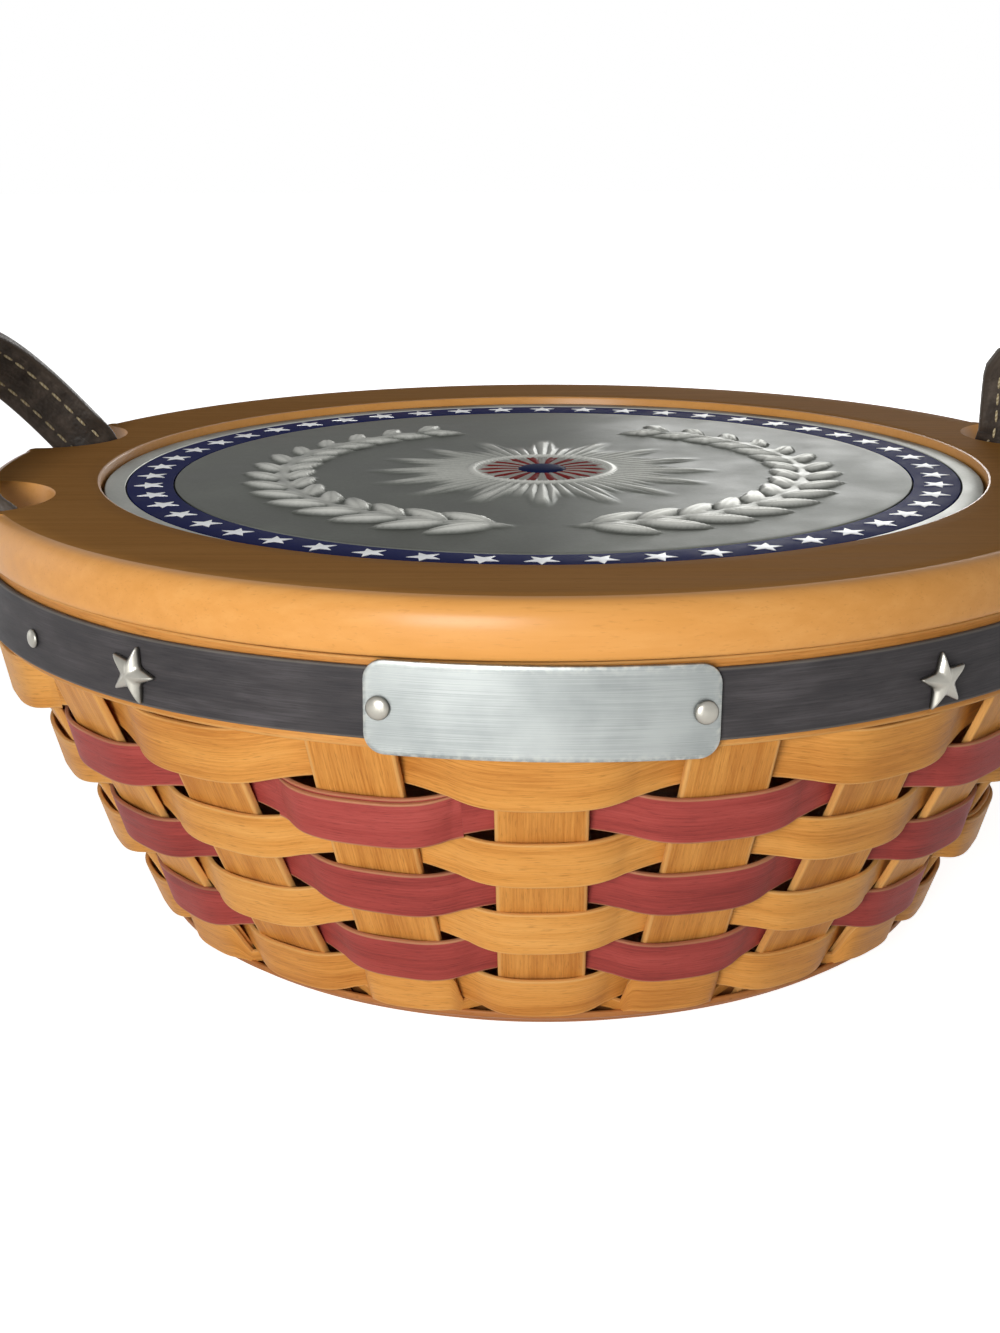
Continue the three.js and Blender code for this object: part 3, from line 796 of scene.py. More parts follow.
@dataclass(frozen=True)
class Section:
    """A strip's cross-section: a flat rectangle with rounded corners, listed round and closed."""

    width: float
    thickness: float
    corner: float
    spans: int = 6

    def outline(self) -> tuple[np.ndarray, np.ndarray, np.ndarray, np.ndarray]:
        """Lists the outline: quarter circles at the corners and evenly spaced points on the broad faces.

        Returns:
            Places across the width and through the thickness, the distance round, and 1 at the cut edges.
        """
        side, face = self.width / 2 - self.corner, self.thickness / 2 - self.corner
        margin = 0.8 * self.corner
        broad = np.concatenate([[-side], np.linspace(-side + margin, side - margin, self.spans + 1), [side]])
        low = np.stack([broad, np.full(len(broad), -self.thickness / 2)], axis=-1)
        turn = np.linspace(0, np.pi / 2, 4)[1:]
        rising = (side, -face) + self.corner * np.stack([np.sin(turn), -np.cos(turn)], axis=-1)
        outline = both_halves(np.concatenate([low, rising, rising[::-1] * [1, -1]]))
        cut = (np.abs(outline[:, 0]) >= side - 1e-9).astype(float)
        return outline[:, 0], outline[:, 1], travel(outline), cut


def sweep(centre: np.ndarray, across: np.ndarray, face: np.ndarray, section: Section, finish: Finish,
          values: dict[str, np.ndarray] | None = None, wide: np.ndarray | float = 1.0,
          thick: np.ndarray | float = 1.0, shift: tuple[float, float] = (0.0, 0.0)) -> Patch:
    """Carries a strip's section along a path: centre, plus across times width, plus face times thickness.

    Args:
        centre: Points of the path.
        across: Unit vectors along the strip's width.
        face: Unit vectors through its thickness.
        section: The cross-section.
        finish: The strip's finish.
        values: Values for the finish, besides edge, which the section gives.
        wide: Factor on the width along the path.
        thick: Factor on the thickness along the path.
        shift: Where the strip starts on the flat map, so that no two share their grain.

    Returns:
        The strip's surface, open at its ends.
    """
    side, depth, girth, cut = section.outline()
    wide = np.broadcast_to(wide, len(centre))[:, None, None]
    thick = np.broadcast_to(thick, len(centre))[:, None, None]
    points = (centre[:, None] + across[:, None] * side[:, None] * wide
              + face[:, None] * depth[:, None] * thick)
    along = travel(centre)[:, None]
    flat = np.stack(np.broadcast_arrays(along + shift[0], girth + shift[1]), axis=-1)
    return Patch(points, finish, flat, {"edge": cut[None], **(values or {})})


def closed_ends(strip: Patch) -> Patch:
    """Closes the open ends of a strip with a row of middle points before the first and after the last.

    Args:
        strip: A strip's surface.

    Returns:
        The strip with its ends drawn together.
    """
    shape = strip.points.shape
    first, last = (
        np.broadcast_to(row[:-1].mean(axis=0), (1, *shape[1:])) for row in strip.points[[0, -1]])
    strip.points = np.concatenate([first, strip.points, last])
    strip.flat = np.concatenate([strip.flat[:1], strip.flat, strip.flat[-1:]])
    for name, held in strip.values.items():
        held = np.broadcast_to(held, shape[:2])
        strip.values[name] = np.concatenate([held[:1], held, held[-1:]])
    return strip


def domed(radius: float, ratio: float = 0.55) -> Patch:
    """Makes a stud's head on the XY plane: a low ellipse turned about Z over a short straight foot.

    Args:
        radius: Radius of the head.
        ratio: Height over radius.

    Returns:
        The head with its flat back.
    """
    rise = np.linspace(0, np.pi / 2, 10)
    foot, back = 0.12 * radius, 0.96 * radius
    crown = np.stack([radius * np.cos(rise), foot + (ratio * radius - foot) * np.sin(rise)], axis=-1)
    profile = np.concatenate([[[0.0, 0.0], [back, 0.0], [radius, foot * 0.4]], crown])
    bright = np.clip(profile[:, 1] / (ratio * radius), 0.15, 1)
    return turned(profile, STUD_METAL, 40, {"relief": bright})


# Woven wall

@dataclass
class WovenWall:
    """The base board, the uprights standing in its groove and the weavers that go round them."""

    base_thickness: float = 8.0
    base_foot: float = 74.4
    base_edge: float = 1.2
    base_radius: float = 86.6
    base_ease: float = 0.5
    groove: tuple[float, float, float] = (82.72, 85.78, 3.28)
    groove_depth: float = 3.0
    pairs: int = 11
    foot_radius: float = 84.0
    foot_slope: float = np.radians(31)
    top_slope: float = np.radians(23.5)
    upright: Section = Section(16.5, 1.6, 0.45)
    upright_top: float = 87.32
    upright_bend: float = 2.0
    upright_rows: int = 72
    upright_tones: tuple[float, float] = (-0.07, 0.05)
    rows: int = 7
    weaver: Section = Section(9.2, 0.9, 0.25)
    weaver_spans: int = 28
    weaver_tones: tuple[float, float] = (-0.05, 0.05)
    row_gap: float = 0.5
    first_row: float = 2.6
    last_row: float = 1.0
    top_rise: float = 2.0
    tilt: float = np.radians(12)
    clearance: float = 0.3
    slack: float = 0.25
    bow: float = 1.5
    wave_out: float = 0.12
    wave_up: float = 0.22
    wave_lean: float = np.radians(1.4)
    under_width: float = 2.6
    under_drop: tuple[float, float] = (0.5, 5.95)
    under_free: tuple[float, float] = (0.3, 0.75)
    under_seed: int = 50
    laps: tuple[int, ...] = (8, 13, 4, 17, 12, 21, 18)
    lap_reach: float = 1.12
    lap_scarf: float = 0.45
    lap_thinnest: float = 0.1
    lap_bed: float = 0.46
    lap_drop: float = 0.5
    lap_rows: int = 72
    lap_tones: tuple[float, float] = (-0.03, 0.05)
    seed: int = 11

    def __post_init__(self) -> None:
        """Works out the wall's length, its bend and how far a weaver swings to pass an upright."""
        self.pitch = self.weaver.width + self.row_gap
        self.length = self.first_row + self.rows * self.pitch + self.last_row
        self.bend = (self.top_slope - self.foot_slope) / self.length
        self.count = 2 * self.pairs
        self.step = 2 * np.pi / self.count
        self.swing = (self.upright.thickness / 2 + self.clearance + self.weaver.width / 2 * np.sin(self.tilt)
                      + self.weaver.thickness / 2 * np.cos(self.tilt) + self.slack)

    def line(self, along: float) -> tuple[float, float, float]:
        """Gives the middle line of the wall, an arc whose slope changes evenly along it.

        Args:
            along: Distance up the slope from the top of the base board.

        Returns:
            Radius, height and slope from the upright.
        """
        slope = self.foot_slope + self.bend * along
        radius = self.foot_radius + (np.cos(self.foot_slope) - np.cos(slope)) / self.bend
        height = self.base_thickness + (np.sin(slope) - np.sin(self.foot_slope)) / self.bend
        return radius, height, slope

    def rise(self, row: int) -> float:
        """Gives a row's extra width at its upper edge: the top row is tucked up under the outer hoop."""
        return self.top_rise if row == self.rows - 1 else 0.0

    def build_base(self) -> None:
        """Turns the base board: a disc with a broad chamfer below and a sloping groove above."""
        top = self.base_thickness
        inner, outer, drop = self.groove
        shift = drop * np.tan(self.foot_slope)
        corners = [
            (0.0, 0.0), (self.base_foot, 0.0), (self.base_radius, top - self.base_edge),
            (self.base_radius, top), (outer, top), (outer - shift, top - drop), (inner - shift, top - drop),
            (inner, top), (0.0, top)]
        board = make_piece("base_disc", [turned(eased(corners, self.base_ease), BASE_MAPLE)])
        mount(board, Body.BASKET, Slot.WOOD, "base_board")

    def upright_line(self) -> tuple[np.ndarray, np.ndarray, np.ndarray]:
        """Follows an upright up the wall's slope, then straight up inside the rim.

        The slope eases to nought over a short stretch about the wall's top, and radius and height are the
        running sums of its sine and cosine.

        Returns:
            Radius, height and slope at each row.
        """
        run_on, samples = 40.0, 4000
        fine = np.linspace(-self.groove_depth, self.length + run_on, samples)
        ease = 1 - smoothstep(fine, self.length - self.upright_bend, self.length + self.upright_bend)
        slope = np.where(fine < 0, self.foot_slope, self.foot_slope + self.bend * fine) * ease
        middle = (slope[1:] + slope[:-1]) / 2
        foot = (self.foot_radius - self.groove_depth * np.sin(self.foot_slope),
                self.base_thickness - self.groove_depth * np.cos(self.foot_slope))
        radius, height = (
            start + np.concatenate([[0.0], np.cumsum(part)]) * (fine[1] - fine[0])
            for start, part in zip(foot, (np.sin(middle), np.cos(middle))))
        rows = np.linspace(height[0], self.upright_top, self.upright_rows)
        return np.interp(rows, height, radius), rows, np.interp(rows, height, slope)

    def build_uprights(self) -> None:
        """Stands the uprights round the board, each a strip carried up the upright's line."""
        rng = np.random.default_rng(self.seed)
        radius, height, slope = (held[:, None] for held in self.upright_line())
        for post in range(self.count):
            bearing = FRONT + post * self.step
            out = around(bearing)
            centre = radius * out + height * UP
            face = np.cos(slope) * out - np.sin(slope) * UP
            across = np.broadcast_to(around(bearing + np.pi / 2), centre.shape)
            tone = drawn_tone(rng, self.upright_tones)
            shift = (rng.uniform(0, GRAIN_LENGTH), rng.uniform(0, GRAIN_WIDTH))
            strip = sweep(centre, across, face, self.upright, NATURAL_SPLINT, tone, shift=shift)
            piece = make_piece(f"stake_{post + 1:02d}", [closed_ends(strip)])
            mount(piece, Body.BASKET, Slot.NATURAL, f"upright_{post + 1:02d}")

    def passing(self, bearing: np.ndarray, outside_first: bool) -> np.ndarray:
        """Gives the side on which a weaver runs: 1 over the upright it passes outside, -1 at the next.

        In between it is the cosine of a quarter turn times a power of the way, so it bows over the upright.

        Args:
            bearing: Bearings round the basket.
            outside_first: Whether it passes outside the front upright.

        Returns:
            The share of the full swing.
        """
        phase = (bearing - FRONT) / self.step
        post = np.round(phase)
        sign = np.where((post % 2 == 0) == outside_first, 1.0, -1.0)
        return sign * np.cos(np.pi / 2 * (2 * np.abs(phase - post)) ** self.bow)

    def strand(self, bearing: np.ndarray, row: int, outside_first: bool,
               seed: int) -> tuple[np.ndarray, np.ndarray, np.ndarray]:
        """Follows a weaver over one upright and under the next, straight across each of them.

        Its radius and height are those of the wall's line, moved square to the wall by the share of the
        swing, and near an upright the radius grows as one over the cosine of the bearing from it, a chord.

        Args:
            bearing: Bearings round the basket.
            row: Row number from the bottom.
            outside_first: Whether it passes outside the front upright.
            seed: Seed of its unevenness.

        Returns:
            Points of its middle line, and unit vectors up its width and out through its thickness.
        """
        rng = np.random.default_rng(seed)
        radius, height, slope = self.line(self.first_row + (row + 0.5) * self.pitch)
        side = self.passing(bearing, outside_first)
        full = self.swing + self.rise(row) * np.sin(self.tilt)
        swing = side * full + wander(bearing, rng, self.wave_out)
        phase = (bearing - FRONT) / self.step
        off = (phase - np.round(phase)) * self.step
        chord = 1 + (1 / np.cos(off) - 1) * np.abs(side)
        reach = (radius + swing * np.cos(slope)) * chord
        climb = height - swing * np.sin(slope) + wander(bearing, rng, self.wave_up)
        centre = reach[:, None] * around(bearing) + climb[:, None] * UP
        along = np.gradient(centre, axis=0)
        along[0] = along[-1] = centre[1] - centre[0] + centre[-1] - centre[-2]
        level_out = unit(np.cross(along, UP))
        lean = (slope - self.tilt + wander(bearing, rng, self.wave_lean))[:, None]
        up = np.sin(lean) * level_out + np.cos(lean) * UP
        out = np.cos(lean) * level_out - np.sin(lean) * UP
        return centre + up * self.rise(row) / 2, up, out

    def under_strand(self, bearing: np.ndarray,
                     seed: int) -> tuple[np.ndarray, np.ndarray, np.ndarray, np.ndarray]:
        """Follows the lowest round's second splint, which passes outside where the first passes inside.

        Where the two cross, and inside, it keeps to the narrow strip between the first splint and the board.

        Args:
            bearing: Bearings round the basket.
            seed: Seed of its unevenness.

        Returns:
            Points of its middle line, unit vectors up its width and out, and factors on its width.
        """
        centre, up, out = self.strand(bearing, 0, False, seed)
        free = smoothstep(self.passing(bearing, False), *self.under_free)
        above, below = self.under_drop
        drop = above * free + below * (1 - free)
        size = free + (1 - free) * self.under_width / self.weaver.width
        wall = np.cos(self.tilt) * up + np.sin(self.tilt) * out
        return centre - wall * drop[:, None], up, out, size

    def build_weavers(self) -> None:
        """Weaves the rounds, natural and red in turn, each with a lap over one upright, shaved at its ends.

        The lowest round has a second splint, woven the other way about. Each splint starts behind an upright
        at the back, which hides the seam in its grain.
        """
        rng = np.random.default_rng(self.seed + 1)
        whole = FRONT + np.linspace(0, 2 * np.pi, self.count * self.weaver_spans + 1)
        reach = np.linspace(-self.lap_reach, self.lap_reach, self.lap_rows)
        shaved = smoothstep(self.lap_reach - np.abs(reach), 0, self.lap_scarf)
        shaved = shaved * (1 - self.lap_thinnest) + self.lap_thinnest
        lift = (self.weaver.thickness * (self.lap_bed + shaved / 2))[:, None]
        for row, post in enumerate(self.laps):
            natural = row % 2 == 0
            kind, finish, slot = (("natural", NATURAL_SPLINT, Slot.NATURAL) if natural
                                  else ("red", RED_SPLINT, Slot.RED))
            behind = whole + (self.pairs if natural else self.pairs + 1) * self.step
            seed = self.seed * 100 + row
            section = replace(self.weaver, width=self.weaver.width + self.rise(row))
            tone = drawn_tone(rng, self.weaver_tones)
            shift = tuple(rng.uniform(0, GRAIN_LENGTH, 2))
            other = shift[::-1]
            patches = [sweep(*self.strand(behind, row, natural, seed), section, finish, tone, shift=shift)]
            if row == 0:
                *path, size = self.under_strand(behind + self.step, seed + self.under_seed)
                patches.append(sweep(*path, section, finish, tone, size, shift=other))
            over = FRONT + (post + reach / 2) * self.step
            centre, up, out = self.strand(over, row, natural, seed)
            centre = centre + out * lift - up * self.lap_drop
            tone = drawn_tone(rng, self.lap_tones)
            lap = sweep(centre, up, out, section, finish, tone, thick=shaved, shift=other)
            patches.append(closed_ends(lap))
            number = row // 2 + 1
            piece = make_piece(f"{kind}_strand_{number:02d}", patches)
            mount(piece, Body.BASKET, slot, f"{kind}_weaver_{number:02d}")


# Rim

@dataclass(frozen=True)
class Hoop:
    """A strip bent into a hoop: inner and outer radius, lower and upper edge, and the wave in its height."""

    name: str
    node: str
    radii: tuple[float, float]
    heights: tuple[float, float]
    wave: float
    finish: Finish
    slot: Slot


@dataclass(frozen=True)
class StarPlace:
    """Where a star tack was driven in, and how far it leans."""

    side: str
    turn: float
    drop: float
    lean: float


@dataclass
class Rim:
    """The two hoops that clamp the uprights, the dark trim, and the plate and studs on it."""

    inner: Hoop = Hoop("inner_hoop", "rim_inner_band", (113.68, 115.48), (74.32, 87.92), 0.05,
                       BROWN_SPLINT, Slot.NATURAL)
    outer: Hoop = Hoop("outer_hoop", "rim_outer_band", (118.23, 119.73), (72.02, 87.92), 0.1,
                       BROWN_SPLINT, Slot.NATURAL)
    trim: Hoop = Hoop("dark_trim", "trim_strip", (120.03, 121.14), (73.72, 86.42), 0.12,
                      NAVY_SPLINT, Slot.NAVY)
    hoop_corner: float = 0.3
    hoop_spans: int = 288
    hoop_face_spans: int = 10
    hoop_tones: tuple[float, float] = (-0.03, 0.03)
    plate_inner: float = 121.44
    plate_size: tuple[float, float, float] = (60.0, 16.6, 0.8)
    plate_drop: float = 0.6
    plate_lean: float = np.radians(0.7)
    plate_corner: float = 3.7
    plate_rivet: float = 2.1
    plate_inset: float = 2.8
    star_radius: float = 5.8
    star_waist: float = 2.5
    star_ease: float = 0.75
    star_edge: float = 0.75
    star_peak: float = 2.4
    star_crease: float = np.radians(60)
    stars: tuple[StarPlace, ...] = (
        StarPlace("left", np.radians(-36.4), 0.8, np.radians(-17)),
        StarPlace("right", np.radians(35), 1.4, np.radians(7)),
    )
    tack_radius: float = 1.8
    tack_drop: float = 0.8
    tack_angle: float = np.radians(52)
    gap: float = 0.3
    seed: int = 6

    def __post_init__(self) -> None:
        """Works out the middle height of the trim."""
        self.middle = sum(self.trim.heights) / 2

    def build_hoops(self) -> None:
        """Bends the inner and outer hoop and the dark trim: level circles with a slight wave in height."""
        for seed, hoop in enumerate((self.inner, self.outer, self.trim), self.seed):
            rng = np.random.default_rng(seed)
            bearing = np.linspace(0, 2 * np.pi, self.hoop_spans + 1) + rng.uniform(0, 6)
            wave = wander(bearing, rng, hoop.wave)
            level = sum(hoop.heights) / 2 + wave - np.abs(wave).max()
            out = around(bearing)
            centre = out * sum(hoop.radii) / 2 + level[:, None] * UP
            size = (float(np.ptp(edges)) for edges in (hoop.heights, hoop.radii))
            section = Section(*size, self.hoop_corner, self.hoop_face_spans)
            tone = drawn_tone(rng, self.hoop_tones)
            shift = (rng.uniform(0, GRAIN_LENGTH), 0.0)
            up = np.broadcast_to(UP, centre.shape)
            piece = make_piece(hoop.name, [sweep(centre, up, out, section, hoop.finish, tone, shift=shift)])
            mount(piece, Body.BASKET, hoop.slot, hoop.node)

    def build_plate(self) -> None:
        """Bends the bare plate round the trim.

        Its outline is a rectangle with round corners. Rings go from the spine of the rectangle's back over
        the rounded rim to the spine of its face, and the width is wrapped round the axis.
        """
        width, height, thick = self.plate_size
        corner = self.plate_corner
        flat = np.array([width, height]) / 2 - corner
        arc = np.linspace(0, np.pi / 2, 9)
        bow = flat + corner * np.stack([np.sin(arc), np.cos(arc)], axis=-1)
        run = np.linspace(-flat[0], flat[0], 53)[:-1, None]
        side = np.linspace(flat[1], -flat[1], 9)[1:-1, None]
        outline = both_halves(np.concatenate([
            np.pad(run, ((0, 0), (0, 1)), constant_values=height / 2), bow,
            np.pad(side, ((0, 0), (1, 0)), constant_values=width / 2), bow[:0:-1] * [1, -1]]))
        inward = (np.clip(outline, -flat, flat) - outline) / corner
        # Inset, height and wear of each ring.
        rim = np.array([
            (0.3, 0.0, 0.0), (0.0, 0.12, 0.6), (0.0, 0.5, 1.0), (0.08, 0.7, 1.0),
            (0.26, thick, 0.9), (0.8, thick, 0.25), (2.0, thick, 0.0), (3.4, thick, 0.0)])
        rings = outline + rim[:, :1, None] * inward
        spine = np.clip(outline, *(way * np.array([(width - height) / 2, 0.0]) for way in (-1, 1)))
        steps = 4
        share = np.linspace(0, 1, steps + 1)[1:, None, None]
        face = np.concatenate([rings[0] + share[::-1] * (spine - rings[0]), rings,
                               rings[-1] + share * (spine - rings[-1])])
        lift = np.pad(rim[:, 1], steps, mode="edge")[:, None]
        worn = np.pad(rim[:, 2], steps)[:, None]
        askew = face + np.sin(self.plate_lean) * face[..., ::-1] * [1, -1]
        bearing = FRONT + askew[..., 0] / self.plate_inner
        level = self.middle - self.plate_drop + askew[..., 1:]
        points = around(bearing) * (self.plate_inner + lift)[..., None] + level * UP
        plate = make_piece("bare_plate", [Patch(points, PLATE_METAL, face, {"edge": worn})])
        mount(plate, Body.BASKET, Slot.PLATE, "tag_plate")

    def star(self, lean: float) -> Patch:
        """Makes a puffed five-pointed star on the XY plane.

        Rings shrink the star's rounded outline towards its middle, and the height swells as a power of the
        distance from the outline, so each arm has a ridge.

        Args:
            lean: How far it is turned from upright.

        Returns:
            The star with its flat back.
        """
        corners = star_corners(self.star_radius, self.star_waist, np.pi / 2 + lean)
        outline = eased(corners, self.star_ease, 5, closed=True)
        size = 1 - np.linspace(0.03, 1, 14) ** 1.25
        swell = (1 - size ** 1.7) ** 0.72
        # The rings of the back and the rim come before those of the face.
        size = np.concatenate([[0.0, 0.93, 0.98, 1.0], size])
        lift = np.concatenate([
            [0.0, 0.0, 0.14, 0.4], self.star_edge + (self.star_peak - self.star_edge) * swell])[:, None]
        flat = size[:, None, None] * outline
        points = np.concatenate([flat, np.broadcast_to(lift[..., None], (*flat.shape[:2], 1))], axis=-1)
        return Patch(points, STUD_METAL, None, {"relief": np.clip(lift / self.star_peak, 0.2, 1)})

    def seat(self, patch: Patch, radius: float, bearing: float, height: float,
             inward: bool = False) -> Patch:
        """Stands a stud against the rim, with its X level, its Y up and its Z out of the rim's face.

        Args:
            patch: The stud, built on the XY plane.
            radius: Distance of its back from the axis.
            bearing: Where it stands.
            height: Its height.
            inward: Whether it faces the axis.

        Returns:
            The stud in its place.
        """
        right = around(bearing + np.pi / 2) * (-1 if inward else 1)
        axes = np.stack([right, UP, np.cross(right, UP)])
        patch.points = patch.points @ axes + (around(bearing) * radius + height * UP)
        return patch

    def build_studs(self) -> None:
        """Sets the plate's rivets, the star tacks and the round tacks."""
        plate_face = self.plate_inner + self.plate_size[2] + self.gap
        trim_face = self.trim.radii[1] + self.gap
        spread = self.plate_size[0] / 2 - self.plate_inset
        for side, way in (("left", -1), ("right", 1)):
            level = self.middle - self.plate_drop - way * spread * np.sin(self.plate_lean)
            bearing = FRONT + way * spread / self.plate_inner
            rivet = self.seat(domed(self.plate_rivet), plate_face, bearing, level)
            piece = make_piece(f"plate_stud_{side}", [rivet])
            mount(piece, Body.BASKET, Slot.PEWTER, f"plate_rivet_{side}")
            turn = FRONT + way * self.tack_angle
            for face, bearing in (("front", turn), ("back", -turn)):
                tack = self.seat(domed(self.tack_radius), trim_face, bearing, self.middle - self.tack_drop)
                piece = make_piece(f"round_stud_{face}_{side}", [tack])
                mount(piece, Body.BASKET, Slot.PEWTER, f"round_tack_{face}_{side}")
        for place in self.stars:
            level = self.middle - place.drop
            star = self.seat(self.star(place.lean), trim_face, FRONT + place.turn, level)
            piece = make_piece(f"star_stud_{place.side}", [star], self.star_crease)
            mount(piece, Body.BASKET, Slot.PEWTER, f"star_tack_{place.side}")


# Lid

@dataclass(frozen=True)
class Leaf:
    """One leaf of a group: how far it leans from the stem, its length and its height."""

    lean: float
    length: float
    height: float


@dataclass(frozen=True)
class Relief:
    """The design cast on the medallion: sun rays, a collar, and two laurel branches with berries."""

    rays: int = 16
    ray_reach: float = 31.0
    ray_extra: float = 9.0
    ray_fade: float = 9.0
    ray_height: float = 0.5
    stem_radius: float = 57.0
    stem_half: float = 1.2
    stem_height: float = 0.5
    stem_start: tuple[float, float] = (0.08, 0.16)
    stem_end: tuple[float, float] = (2.5, 2.66)
    groups: int = 15
    group_span: tuple[float, float] = (np.radians(9), np.radians(148))
    leaves: tuple[Leaf, ...] = (Leaf(0.62, 17.0, 0.95), Leaf(-0.62, 16.5, 0.95), Leaf(0.0, 12.0, 0.7))
    leaf_half: float = 2.7
    leaf_shrink: float = 0.3
    leaf_belly: float = 0.82
    vein_half: float = 0.42
    vein_depth: float = 0.22
    berry_lead: float = 0.075
    berry_offset: float = 4.6
    round_half: float = 1.3
    round_height: float = 0.75

    def height(self, x: np.ndarray, y: np.ndarray, collar: float) -> np.ndarray:
        """Models the design as the highest of all its parts at each point.

        Args:
            x: Places to the right of the middle.
            y: Places behind the middle.
            collar: Radius of the collar.

        Returns:
            Height from 0 to 1.
        """
        radius, turn = np.hypot(x, y), np.arctan2(y, x)
        reach = self.ray_reach + self.ray_extra * smoothstep(np.cos(self.rays * turn), -0.2, 0.9)
        fade = 1 - smoothstep(radius, reach - self.ray_fade, reach)
        ridges = 0.35 + 0.65 * np.abs(np.cos(2 * self.rays * turn))
        parts = [self.ray_height * ridges * fade,
                 self.round_height * half_round((radius - collar) / self.round_half)]
        for way in (-1, 1):
            drift = np.angle(np.exp(1j * (turn - FRONT))) * way
            on_stem = smoothstep(drift, *self.stem_start) * (1 - smoothstep(drift, *self.stem_end))
            stem = half_round((radius - self.stem_radius) / self.stem_half)
            parts.append(self.stem_height * stem * on_stem)
            for number, lead in enumerate(np.linspace(*self.group_span, self.groups)):
                bearing = FRONT + way * lead
                foot = around(bearing) * self.stem_radius
                heading = bearing + way * np.pi / 2
                size = 1.0 - self.leaf_shrink * number / self.groups
                parts += [self.blade(x - foot[0], y - foot[1], heading + way * leaf.lean, leaf, size)
                          for leaf in self.leaves]
                for offset in (-self.berry_offset, self.berry_offset):
                    spot = around(bearing + way * self.berry_lead) * (self.stem_radius + offset)
                    away = np.hypot(x - spot[0], y - spot[1])
                    parts.append(self.round_height * half_round(away / self.round_half))
        return reduce(np.maximum, parts)

    def blade(self, x: np.ndarray, y: np.ndarray, heading: float, leaf: Leaf, size: float) -> np.ndarray:
        """Models one leaf, whose half-width is a sine along its length.

        Its height is a half-ellipse over the width, less a thin groove for the midrib.

        Args:
            x: Places to the right of the leaf's foot.
            y: Places behind it.
            heading: Bearing of its tip.
            leaf: The leaf.
            size: Factor on its length and width.

        Returns:
            Height, nought outside the leaf.
        """
        run = (x * np.cos(heading) + y * np.sin(heading)) / (leaf.length * size)
        off = y * np.cos(heading) - x * np.sin(heading)
        half = self.leaf_half * size * np.sin(np.pi * np.clip(run, 0, 1) ** self.leaf_belly) + 1e-6
        swell = half_round(off / half) * np.clip(half / self.leaf_half, 0, 1) ** 0.5
        vein = self.vein_depth * np.exp(-(off / self.vein_half) ** 2)
        inside = (run > 0) & (run < 1) & (np.abs(off) < half)
        return np.where(inside, leaf.height * swell - vein, 0)


